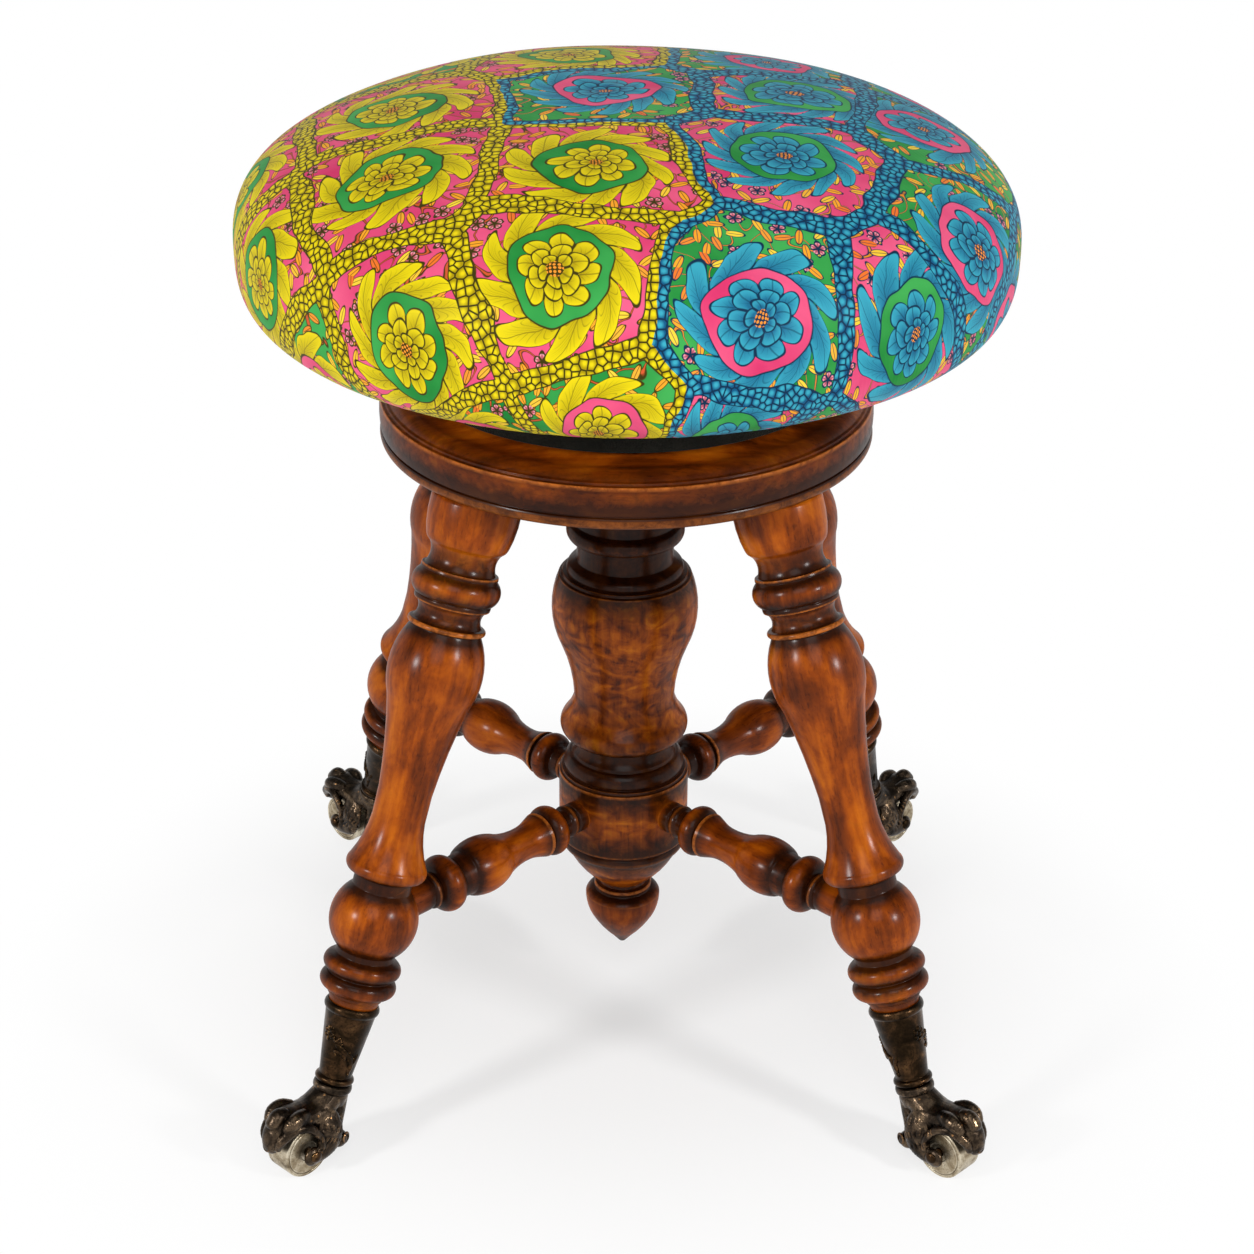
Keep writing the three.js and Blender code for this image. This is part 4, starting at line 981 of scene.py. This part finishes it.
def flowing(stations, spacing):
    """Stations at an even spacing along the smooth curve through the given ones."""
    knots = np.array(stations, float)
    knots = np.vstack([2 * knots[0] - knots[1], knots, 2 * knots[-1] - knots[-2]])
    made = []
    for a, b, c, d in zip(knots, knots[1:], knots[2:], knots[3:]):
        count = max(2, round(np.linalg.norm((c - b)[:3]) / spacing))
        for t in np.arange(count) / count:
            bow = (2 * b, (c - a) * t, (2 * a - 5 * b + 4 * c - d) * t**2, (3 * b - a - 3 * c + d) * t**3)
            made.append(sum(bow) / 2)
    return [*made, knots[-2]]


def clay(name, limbs, spacing=1.2):
    """Balls of clay pressed on along each limb's stations (x, y, z, half height, half width)."""
    made = []
    for stations in limbs:
        bpy.ops.object.select_all(action="DESELECT")
        single = len(stations) == 1
        path = np.array(stations, float) if single else flowing(stations, spacing)
        for i, (x, y, z, high, wide) in enumerate(path):
            ahead = path[min(i + 1, len(path) - 1)] - path[max(i - 1, 0)]
            along = Vector((1, 0, 0)) if single else Vector(ahead[:3]).normalized()
            across = (Vector((0, 1, 0)) - along * along.y).normalized()
            turn = Matrix((along, across, along.cross(across))).transposed()
            bpy.ops.mesh.primitive_uv_sphere_add(
                segments=18,
                ring_count=12,
                radius=MM,
                location=Vector((x, y, z)) * MM,
                rotation=turn.to_euler(),
                scale=(high if single else 0.85 * min(high, wide), wide, high),
            )
            if i == 0:
                bpy.ops.object.mode_set(mode="EDIT")
        bpy.ops.object.mode_set(mode="OBJECT")
        made.append(settled(bpy.context.active_object))
    return joined(made, name)


def mirrored(stations):
    return [(x, -y, z, high, wide) for x, y, z, high, wide in stations]


BACK = [
    (-24, 0, 24.3, 7.9, 8.9),
    (-18.7, 0, 21, 7.9, 9.6),
    (-9, 0, 18, 7.0, 10),
    (1.5, 0, 19.4, 6.4, 9.8),
    (7.5, 0, 20.6, 6.4, 8.6),
    (12, 0, 20, 5.2, 6),
]
FRONT_TOE = [
    (12.5, 0, 20.4, 4.6, 6),
    (15.8, 0, 17.6, 4.4, 6.2),
    (18, 0, 13.8, 4, 5.6),
    (18.4, 0, 10.4, 3.8, 4.9),
    (17.9, 0, 8, 3.4, 4.3),
]
FRONT_KNUCKLE = [(9, 0, 24.6, 3.6, 4.2), (12.6, 0, 24.4, 4.3, 4.6), (16, 0, 21.6, 3.9, 4.6)]
HEEL = [
    (-26, 0, 23, 6.9, 8),
    (-24, 0, 12.8, 6, 7.6),
    (-21.9, 0, 2, 4.7, 7.6),
    (-22.2, 0, -5, 4.8, 8),
    (-20.8, 0, -8.6, 3, 6.4),
]
SIDE_TOE = [
    (-10.8, 5.8, 18, 7.6, 4.9),
    (-12.6, 10.6, 9.9, 8.2, 3.9),
    (-12.3, 11.7, 1.8, 5.8, 3.2),
    (-6, 11.9, -1.2, 4.9, 3),
    (0.2, 12, -0.8, 4.9, 2.9),
]
EYE = [(0.4, 11.9, -0.8, 5.4, 3)]
KNUCKLE = [(0, 6, 22.2, 3.4, 3.4), (4.5, 7.6, 23.2, 4.2, 4.1), (9.5, 7.8, 22.2, 4.3, 4.1), (12.6, 7.2, 20, 3, 3.2)]
HOOD_RIM = [
    (17.4, 4.6, 9.5, 2.2, 2.2),
    (16.2, 6.6, 14.2, 2.8, 2.8),
    (11.4, 8.6, 18, 2.9, 2.9),
    (5.6, 10, 18.6, 2.7, 2.8),
    (0.6, 11.2, 16.4, 2.4, 2.6),
    (-3, 12.1, 12.4, 2.2, 2.3),
    (-5.3, 12.4, 7.2, 2.2, 2.3),
    (-5.2, 12.3, 2.6, 2.4, 2.4),
]
HEEL_LOBE = [(-22.4, 5.2, -4.6, 5, 4.6)]

halves = [SIDE_TOE, EYE, KNUCKLE, HOOD_RIM, HEEL_LOBE]
paw = clay("paw_iron", [BACK, FRONT_TOE, FRONT_KNUCKLE, HEEL, *halves, *map(mirrored, halves)])
collar_place = Matrix.Translation((-PAW_REACH * MM, 0, PAW_DROP * MM)) @ Matrix.Rotation(-LEG_SPLAY, 4, "Y")
collar = spots((0, -12), (8.4, -12), (9.4, -7), (9.2, -4.8), (10.3, -4.1), (10.5, -2.6), (10.2, -1.1), (9.4, -0.4), (0, -0.4))
rings = []
for x, y, z, major, turn in ((21.2, 0, 9.6, 2, (0, math.pi / 2, 0)), (-24.6, 8.6, -3.6, 2.6, (math.pi / 2, 0, 0.35)), (-24.6, -8.6, -3.6, 2.6, (math.pi / 2, 0, -0.35))):
    for radius, minor in ((major, 0.75), (0.3, 0.7)):
        bpy.ops.object.select_all(action="DESELECT")
        bpy.ops.mesh.primitive_torus_add(
            major_segments=28,
            minor_segments=10,
            major_radius=radius * MM,
            minor_radius=minor * MM,
            location=(x * MM, y * MM, z * MM),
            rotation=turn,
        )
        rings.append(settled(bpy.context.active_object))
paw = fused(joined([paw, settled(turned("collar", collar, 48), collar_place), *rings], "paw_iron"), 0.45, 3)


def carved_fur(obj):
    """Short strokes of fur on the flanks and over the wrist, as the pattern maker cut them."""
    place = coordinates(obj) / MM
    normals = np.empty(len(place) * 3, np.float32)
    obj.data.vertex_normals.foreach_get("vector", normals)
    x, y, z = place.T
    strokes = np.sin(1.9 * x + 0.9 * z + 2.1 * np.sin(0.42 * z + 0.16 * x))
    strokes *= np.clip(1.4 * np.sin(0.5 * x - 0.8 * z + 0.3 * y) + 0.5, 0, 1)
    flank = np.clip((np.abs(y) - 5) / 3, 0, 1) * np.clip((2 - x) / 4, 0, 1) * np.clip((x + 26) / 4, 0, 1)
    flank *= np.clip((z + 1) / 4, 0, 1) * np.clip((19 - z) / 5, 0, 1)
    depth = -0.4 * flank * np.clip(strokes * 1.5, -0.3, 1)
    place += depth[:, None] * normals.reshape(-1, 3)
    obj.data.vertices.foreach_set("co", (place * MM).ravel())
    obj.data.update()


carved_fur(paw)
toe_face = TOE_MIDDLE + TOE_THICKNESS / 2
for radius, depth, middle in ((16.2, 17.6, 0), (2.7, 60, 0), (3.8, 20, toe_face + 10), (3.8, 20, -toe_face - 10)):
    bpy.ops.mesh.primitive_cylinder_add(
        vertices=64,
        radius=radius * MM,
        depth=depth * MM,
        location=(0, middle * MM, 0),
        rotation=(math.pi / 2, 0, 0),
    )
    cut(paw, settled(bpy.context.active_object))
finish(smoothed(paw, 50), IRON)
for corner, made in round_the_stool(paw, Matrix.Translation((WHEEL_CIRCLE * MM, 0, AXLE_HEIGHT * MM))).items():
    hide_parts(f"paw_{corner}")

# The stuffed seat


def cushion_section(radius, crown, drop, inset=0):
    """The cushion's outline from the axis below, out and up to the crown."""
    level = BOARD_BOTTOM - GAP - 1.2 + drop * (1 - (BOARD_RADIUS / radius) ** DROP_POWER) ** (1 / DROP_POWER)
    start = math.acos((BOARD_RADIUS / radius) ** (DROP_POWER / 2))
    points = [(out, level - drop * (1 - (BOARD_RADIUS / radius) ** DROP_POWER) ** (1 / DROP_POWER)) for out in range(0, 150, 8)]
    for k in range(18):
        angle = start * (1 - k / 18)
        points.append((radius * math.cos(angle) ** (2 / DROP_POWER), level - drop * math.sin(angle) ** (2 / DROP_POWER)))
    for k in range(41):
        angle = math.pi / 2 * k / 40
        out = radius * math.cos(angle) ** (2 / CROWN_POWER) if k < 40 else 0
        points.append((out, level + crown * math.sin(angle) ** (2 / CROWN_POWER)))
    return spots(*points)


def print_places(obj, section):
    """Lays the cloth flat: each point's distance from the crown along the cover, in its direction."""
    place = coordinates(obj)
    path = np.array([tuple(p) for p in reversed(section)]) * MM
    step = np.diff(path, axis=0)
    length = np.hypot(*step.T)
    run = np.concatenate([[0], length.cumsum()[:-1]])
    here = np.stack([np.hypot(place[:, 0], place[:, 1]), place[:, 2]], 1)
    share = np.clip(((here[:, None] - path[:-1]) * step).sum(2) / length**2, 0, 1)
    away = np.linalg.norm(here[:, None] - path[:-1] - share[..., None] * step, axis=2)
    nearest = away.argmin(1)
    reach = run[nearest] + share[np.arange(len(here)), nearest] * length[nearest]
    turned_to = np.arctan2(place[:, 1], place[:, 0])
    flat = np.stack([reach * np.cos(turned_to), reach * np.sin(turned_to), np.zeros(len(here))], 1)
    obj.data.attributes.new("print", "FLOAT_VECTOR", "POINT").data.foreach_set(
        "vector", flat.astype(np.float32).ravel()
    )


def stuffed(obj, limit, frames=20):
    """Fills a cover: its cloth swells under the stuffing's pressure, held ever more towards the tacks."""
    before = coordinates(obj)
    alone(obj)
    held = obj.vertex_groups.new(name="held")
    rise = (before[:, 2] / MM - BOARD_BOTTOM) / (widest_level - BOARD_BOTTOM)
    for i, hold in enumerate(np.clip(1.05 - rise, 0, 1)):
        held.add([i], float(hold), "REPLACE")
    bpy.ops.object.modifier_add(type="CLOTH")
    cloth = obj.modifiers[-1]
    cloth.settings.vertex_group_mass = "held"
    cloth.settings.use_pressure = True
    cloth.settings.uniform_pressure_force = 4
    cloth.settings.effector_weights.gravity = 0
    cloth.point_cache.frame_end = frames
    scene = bpy.context.scene
    for frame_number in range(1, frames + 1):
        scene.frame_set(frame_number)
    bpy.ops.object.modifier_apply(modifier=cloth.name)
    scene.frame_set(1)
    moved = coordinates(obj) - before
    length = np.linalg.norm(moved, axis=1, keepdims=True)
    moved *= np.minimum(1, limit * MM / np.maximum(length, 1e-9))
    obj.data.vertices.foreach_set("co", (before + moved).ravel())
    obj.data.update()
    return obj


def lumps(obj):
    """Hand-laid stuffing is a little uneven, and the cloth is pleated where it is drawn in below."""
    place = coordinates(obj)
    out = np.hypot(place[:, 0], place[:, 1]) / MM
    turned_to = np.arctan2(place[:, 1], place[:, 0])
    wave = np.sin(3 * turned_to + 0.6) * np.sin(out / 47) + 0.6 * np.sin(5 * turned_to + out / 60 + 2)
    low = np.clip((widest_level * MM - place[:, 2]) / (28 * MM), 0, 1)
    band = np.clip((out - 118) / 12, 0, 1) * np.clip((184 - out) / 26, 0, 1)
    pleat = low * band * (0.5 + 0.5 * np.cos(64 * turned_to + 1.3 * np.sin(7 * turned_to))) ** 3
    place[:, 2] += (0.45 * wave * (1 - low) + 1.5 * pleat) * MM
    place[:, :2] *= 1 + 0.0016 * wave[:, None]
    obj.data.vertices.foreach_set("co", place.ravel())
    obj.data.update()


outer_section = cushion_section(CUSHION_RADIUS, CROWN_HEIGHT, CUSHION_DROP)
widest_level = max(outer_section, key=lambda p: p.x).y
cushion = turned("seat_cushion", cushion_section(CUSHION_RADIUS + 0.9, CROWN_HEIGHT - 0.4, CUSHION_DROP), 192)
stuffed(cushion, 4.5)
modified(cushion, "SMOOTH", factor=0.5, iterations=2)
lumps(cushion)
modified(cushion, "SUBSURF", levels=1, render_levels=1)
board_room = spots((0, BOARD_BOTTOM - 12), (BOARD_RADIUS - COVER_HEM, BOARD_BOTTOM - 12))
board_room += spots((BOARD_RADIUS - COVER_HEM, BOARD_BOTTOM - 0.1), (BOARD_RADIUS + GAP, BOARD_BOTTOM - 0.1))
board_room += spots((BOARD_RADIUS + GAP, BOARD_BOTTOM + BOARD_THICKNESS + GAP), (0, BOARD_BOTTOM + BOARD_THICKNESS + GAP))
cut(cushion, turned("board_room", board_room, 128))
print_places(cushion, outer_section)
finish(smoothed(cushion, 50), PRINTED_COTTON)
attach(cushion, "seat")
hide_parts("seat_cover", "seat_padding")

# The block under the seat, in its cloth, and the board that the stuffing lies on

block_top = BLOCK_BOTTOM + BLOCK_HEIGHT
cloth_out = BLOCK_RADIUS + GAP + CLOTH
cloth_in = BLOCK_RADIUS - BLOCK_HEM
cloth_line = spots((cloth_in, BLOCK_BOTTOM), (cloth_out, BLOCK_BOTTOM), (cloth_out, block_top))
cloth_line += spots((BLOCK_RADIUS + GAP, block_top), (BLOCK_RADIUS + GAP, BLOCK_BOTTOM + CLOTH))
cloth_line += spots((cloth_in, BLOCK_BOTTOM + CLOTH), (cloth_in, BLOCK_BOTTOM))
block_cloth = finish(turned("block_felt", softened(cloth_line), 144), FELT)
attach(block_cloth, "seat")
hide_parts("block_cloth")

spider_room = SPIDER_RADIUS + 2
block_line = spots((0, BLOCK_BOTTOM + SPIDER_BOSS_HEIGHT + GAP), (17.3, BLOCK_BOTTOM + SPIDER_BOSS_HEIGHT + GAP))
block_line += spots((17.3, BLOCK_BOTTOM + SPIDER_THICKNESS + GAP), (spider_room, BLOCK_BOTTOM + SPIDER_THICKNESS + GAP))
block_line += spots((spider_room, BLOCK_BOTTOM), (cloth_in - GAP, BLOCK_BOTTOM), (cloth_in - GAP, BLOCK_BOTTOM + CLOTH + GAP))
block_line += spots((BLOCK_RADIUS, BLOCK_BOTTOM + CLOTH + GAP), (BLOCK_RADIUS, block_top), (0, block_top))
block = finish(turned("block_pine", softened(block_line), 128), PINE)
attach(block, "seat")
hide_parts("seat_block")

board_line = spots((0, BOARD_BOTTOM), (BOARD_RADIUS, BOARD_BOTTOM), (BOARD_RADIUS, BOARD_BOTTOM + BOARD_THICKNESS))
board_line += spots((0, BOARD_BOTTOM + BOARD_THICKNESS))
board = finish(turned("board_pine", softened(board_line), 128), PINE)
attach(board, "seat")
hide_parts("seat_board")

# The screw: a square-shouldered thread, cut from one long turn of its profile


def threaded_bar(name, foot, top):
    root, crest = SPINDLE_RADIUS - 2.4, SPINDLE_RADIUS
    tooth = [(root, 0), (root, 1.2), (crest - 0.2, 2.3), (crest, 2.6), (crest, 3.7), (crest - 0.2, 4), (root, 5.1)]
    start = foot - THREAD_PITCH
    obj = drawn(name, [Vector((out, 0, start + along)) * MM for out, along in [*tooth, (root, THREAD_PITCH)]])
    bpy.ops.object.mode_set(mode="OBJECT")
    settled(obj)
    turns = math.ceil((top - foot) / THREAD_PITCH) + 2
    modified(
        obj,
        "SCREW",
        screw_offset=THREAD_PITCH * MM,
        iterations=turns,
        steps=36,
        render_steps=36,
        use_merge_vertices=True,
        merge_threshold=0.01 * MM,
    )
    alone(obj)
    bpy.ops.object.mode_set(mode="EDIT")
    for height, side in ((top, 1), (foot, -1)):
        bpy.ops.mesh.select_all(action="SELECT")
        bpy.ops.mesh.remove_doubles(threshold=0.01 * MM)
        bpy.ops.mesh.bisect(plane_co=(0, 0, height * MM), plane_no=(0, 0, side), clear_outer=True, use_fill=True)
    bpy.ops.mesh.select_all(action="SELECT")
    bpy.ops.mesh.normals_make_consistent(inside=False)
    bpy.ops.object.mode_set(mode="OBJECT")
    return smoothed(obj, 40)


spindle_top = BLOCK_BOTTOM + SPIDER_BOSS_HEIGHT
spindle = finish(threaded_bar("spindle_thread", PLATE_BOTTOM - SPINDLE_DEPTH, spindle_top), OLD_IRON)
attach(spindle, "seat")
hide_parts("spindle")

bore = SPINDLE_RADIUS + GAP
nut_foot = PLATE_BOTTOM + 16
nut_line = [(bore, nut_foot), (NUT_BOSS_RADIUS, nut_foot), (NUT_BOSS_RADIUS, PLATE_TOP - NUT_FLANGE)]
nut_line += [(NUT_FLANGE_RADIUS, PLATE_TOP - NUT_FLANGE), (NUT_FLANGE_RADIUS, PLATE_TOP), (bore, PLATE_TOP)]
nut = turned("nut_iron", softened(spots(*nut_line, nut_line[0])), 72)

washer_line = [(bore, WASHER_BOTTOM), (WASHER_RADIUS, WASHER_BOTTOM), (WASHER_RADIUS, WASHER_BOTTOM + 2)]
washer_line += [(bore, WASHER_BOTTOM + 2), (bore, WASHER_BOTTOM)]
washer = finish(turned("washer_iron", softened(spots(*washer_line)), 72), OLD_IRON)
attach(washer, "washer")
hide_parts("thrust_washer")


def slotted_screw(name, radius, length):
    """A countersunk wood screw about Z, its face at the origin, with a sawn slot."""
    head = 1.9 * radius
    points = [(0, -length), (0.35 * radius, -0.93 * length), (0.8 * radius, -0.7 * length), (0.8 * radius, -0.35 * length)]
    points += [(radius, -0.33 * length), (radius, -1.2), (head, -0.15), (head, 0), (0, 0)]
    screw = turned(name, softened(spots(*points)), 40)
    bpy.ops.mesh.primitive_cube_add(size=1, location=(0, 0, 0), scale=(2.4 * head * MM, 0.36 * radius * MM, 0.9 * MM))
    return finish(cut(screw, settled(bpy.context.active_object)), OLD_IRON)


def sunk_hole(obj, place, radius):
    """The hole for a screw's head, as deep as the head is."""
    reach = 1.9 * radius + 0.2
    hole = turned("hole", spots((0, -6), (radius + 0.1, -6), (radius + 0.1, -1.5), (reach, -0.3), (reach, 1), (0, 1)), 40)
    return cut(obj, settled(hole, place))


WOOD_SCREW = 2.2
wood_screw = slotted_screw("wood_screw", WOOD_SCREW, 12)
nut_circle = (NUT_FLANGE_RADIUS + NUT_BOSS_RADIUS) / 2
for number in range(3):
    angle = math.pi / 2 + number * 2 * math.pi / 3
    place = Matrix.Translation(Vector((nut_circle * math.cos(angle), nut_circle * math.sin(angle), PLATE_TOP)) * MM)
    sunk_hole(nut, place, WOOD_SCREW)
    screw = copied(wood_screw, f"nut_slotted_screw_{number + 1}", place @ Matrix.Rotation(1.1 * number + 0.4, 4, "Z"))
    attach(screw, "base")
    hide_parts(f"nut_screw_{number + 1}")
finish(smoothed(nut, 40), OLD_IRON)
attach(nut, "base")
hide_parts("spindle_nut")

# The cast spider: a boss and four round-ended arms let into the block
boss_line = [(bore, 0), (SPIDER_BOSS_RADIUS, 0), (SPIDER_BOSS_RADIUS, SPIDER_BOSS_HEIGHT), (bore, SPIDER_BOSS_HEIGHT), (bore, 0)]
spider = turned("spider_iron", softened(spots(*boss_line)), 72)
arm_half = SPIDER_ARM / 2
screw_circle = SPIDER_RADIUS - arm_half
for corner, angle in CORNERS.items():
    bpy.ops.mesh.primitive_cylinder_add(
        vertices=48, radius=arm_half * MM, depth=SPIDER_THICKNESS * MM, location=(screw_circle * MM, 0, SPIDER_THICKNESS / 2 * MM)
    )
    arm = bpy.context.active_object
    bpy.ops.object.mode_set(mode="EDIT")
    bpy.ops.mesh.select_all(action="SELECT")
    bpy.ops.mesh.bisect(plane_co=(screw_circle * MM, 0, 0), plane_no=(-1, 0, 0), clear_outer=True)
    bpy.ops.mesh.select_all(action="DESELECT")
    bpy.ops.object.mode_set(mode="OBJECT")
    for edge in arm.data.edges:
        edge.select = all(abs(arm.data.vertices[v].co.x) < 0.01 * MM for v in edge.vertices)
    bpy.ops.object.mode_set(mode="EDIT")
    bpy.ops.mesh.extrude_region_move(TRANSFORM_OT_translate={"value": (-(screw_circle - 13) * MM, 0, 0)})
    bpy.ops.mesh.edge_face_add()
    bpy.ops.mesh.select_all(action="SELECT")
    bpy.ops.mesh.normals_make_consistent(inside=False)
    bpy.ops.object.mode_set(mode="OBJECT")
    settled(arm)
    modified(arm, "BEVEL", width=0.7 * MM, segments=3, limit_method="ANGLE", angle_limit=50 * DEGREE)
    settled(arm, Matrix.Rotation(angle * DEGREE, 4, "Z"))
    modified(spider, "BOOLEAN", object=arm, operation="UNION", solver="EXACT")
    bpy.data.objects.remove(arm)
settled(spider, Matrix.Translation((0, 0, BLOCK_BOTTOM * MM)))
for number in range(4):
    angle = math.pi / 4 + number * math.pi / 2
    place = Matrix.Translation(Vector((screw_circle * math.cos(angle), screw_circle * math.sin(angle), BLOCK_BOTTOM)) * MM)
    place = place @ Matrix.Rotation(math.pi, 4, "X")
    sunk_hole(spider, place, WOOD_SCREW)
    screw = copied(wood_screw, f"spider_slotted_screw_{number + 1}", place @ Matrix.Rotation(0.9 * number, 4, "Z"))
    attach(screw, "seat")
    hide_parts(f"spider_screw_{number + 1}")
bpy.data.objects.remove(wood_screw)
finish(smoothed(spider, 40), OLD_IRON)
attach(spider, "seat")
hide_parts("seat_spider")

ferrule_screw = slotted_screw("ferrule_slotted_screw", 1.5, 6.5)
ferrule_screw_place = (
    ferrule_place
    @ Matrix.Translation((0, 0, -FERRULE_LENGTH * MM))
    @ Matrix.Rotation(135 * DEGREE, 4, "Z")
    @ Matrix.Translation((8.7 * MM, 0, 5.2 * MM))
    @ Matrix.Rotation(math.pi / 2, 4, "Y")
    @ Matrix.Translation((0, 0, -GAP * MM))
)
for corner, made in round_the_stool(ferrule_screw, ferrule_screw_place).items():
    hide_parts(f"ferrule_screw_{corner}")

# The stage

def seen_directly(tree):
    """1 where the camera, a reflection or glass looks at a surface, 0 for the light it gives."""
    path = add(tree, "LightPath")
    seen = add(tree, "Math", {0: path.outputs["Is Camera Ray"], 1: path.outputs["Is Glossy Ray"]}, operation="MAXIMUM")
    return add(tree, "Math", {0: seen, 1: path.outputs["Is Transmission Ray"]}, operation="MAXIMUM")


def studio():
    """A white floor that runs on into a white horizon, soft lamps and even light all round."""
    bpy.ops.object.select_all(action="DESELECT")
    bpy.ops.mesh.primitive_plane_add(size=30, location=(0, 0, 0))
    floor = bpy.context.active_object
    floor.name = "studio_floor"
    material, tree = new_material("white_paper")
    where = add(tree, "TexCoord")
    far = add(tree, "VectorMath", {0: where.outputs["Object"]}, operation="LENGTH")
    fade = add(tree, "MapRange", {0: far.outputs["Value"], 1: 0.1, 2: 0.38, 3: 0.56, 4: 1}, interpolation_type="SMOOTHSTEP")
    share = add(tree, "Math", {0: fade, 1: seen_directly(tree)}, operation="MULTIPLY")
    paper = add(tree, "BsdfDiffuse", {"Color": "#ffffff"})
    glow = add(tree, "Emission", {"Color": (1, 1, 1, 1), "Strength": 1})
    both = add(tree, "MixShader", {0: share, 1: paper, 2: glow})
    add(tree, "OutputMaterial", {"Surface": both})
    floor.data.materials.append(material)

    world = bpy.data.worlds.new("studio")
    bpy.context.scene.world = world
    world.use_nodes = True
    tree = world.node_tree
    tree.nodes.clear()
    height = add(tree, "SeparateXYZ", {0: add(tree, "TexCoord").outputs["Generated"]}).outputs["Z"]
    low = add(tree, "MapRange", {0: height, 1: 0.26, 2: 0.5, 3: 1, 4: 0}, interpolation_type="SMOOTHSTEP")
    shown = add(tree, "Math", {0: low, 1: seen_directly(tree)}, operation="MULTIPLY")
    strength = add(tree, "MapRange", {0: shown, 3: 0.15, 4: 1})
    sky = add(tree, "Background", {"Color": (1, 1, 1, 1), "Strength": strength})
    add(tree, "OutputWorld", {"Surface": sky})

    aim = Vector((0, 0, 0.25))
    # Two soft boxes at the sides and a broad one overhead: azimuth, height angle, metres away
    for azimuth, rise, away, size, power in ((-52, 22, 2.2, 0.27, 22), (52, 22, 2.2, 0.27, 22), (0, 40, 2.6, 1.3, 16), (0, 88, 2.4, 1.8, 14)):
        turn, rise = azimuth * DEGREE, rise * DEGREE
        lamp_at = aim + away * Vector(
            (math.sin(turn) * math.cos(rise), -math.cos(turn) * math.cos(rise), math.sin(rise))
        )
        bpy.ops.object.light_add(type="AREA", location=lamp_at)
        lamp = bpy.context.active_object
        lamp.rotation_euler = (aim - lamp_at).to_track_quat("-Z", "Y").to_euler()
        lamp.data.size = size
        lamp.data.energy = power


def photographer():
    """The camera, solved from the ellipses of the seat, the plate and the wheels."""
    away, high = 1358.41, 916.84
    pitch, roll, swing = 26.67 * DEGREE, 0.45 * DEGREE, -0.54 * DEGREE
    bpy.ops.object.camera_add()
    camera = bpy.context.active_object
    turn = Matrix.Rotation(swing, 4, "Z")
    camera.matrix_world = (
        turn
        @ Matrix.Translation((0, -away * MM, high * MM))
        @ Matrix.Rotation(math.pi / 2 - pitch, 4, "X")
        @ Matrix.Rotation(roll, 4, "Z")
    )
    camera.data.sensor_width = 36
    camera.data.lens = 79.90
    camera.data.shift_x = 0.00182
    camera.data.clip_end = 100
    bpy.context.scene.camera = camera


studio()
photographer()
bpy.context.scene.view_settings.view_transform = "Standard"

finish(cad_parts["spindle_pin"], OLD_IRON)
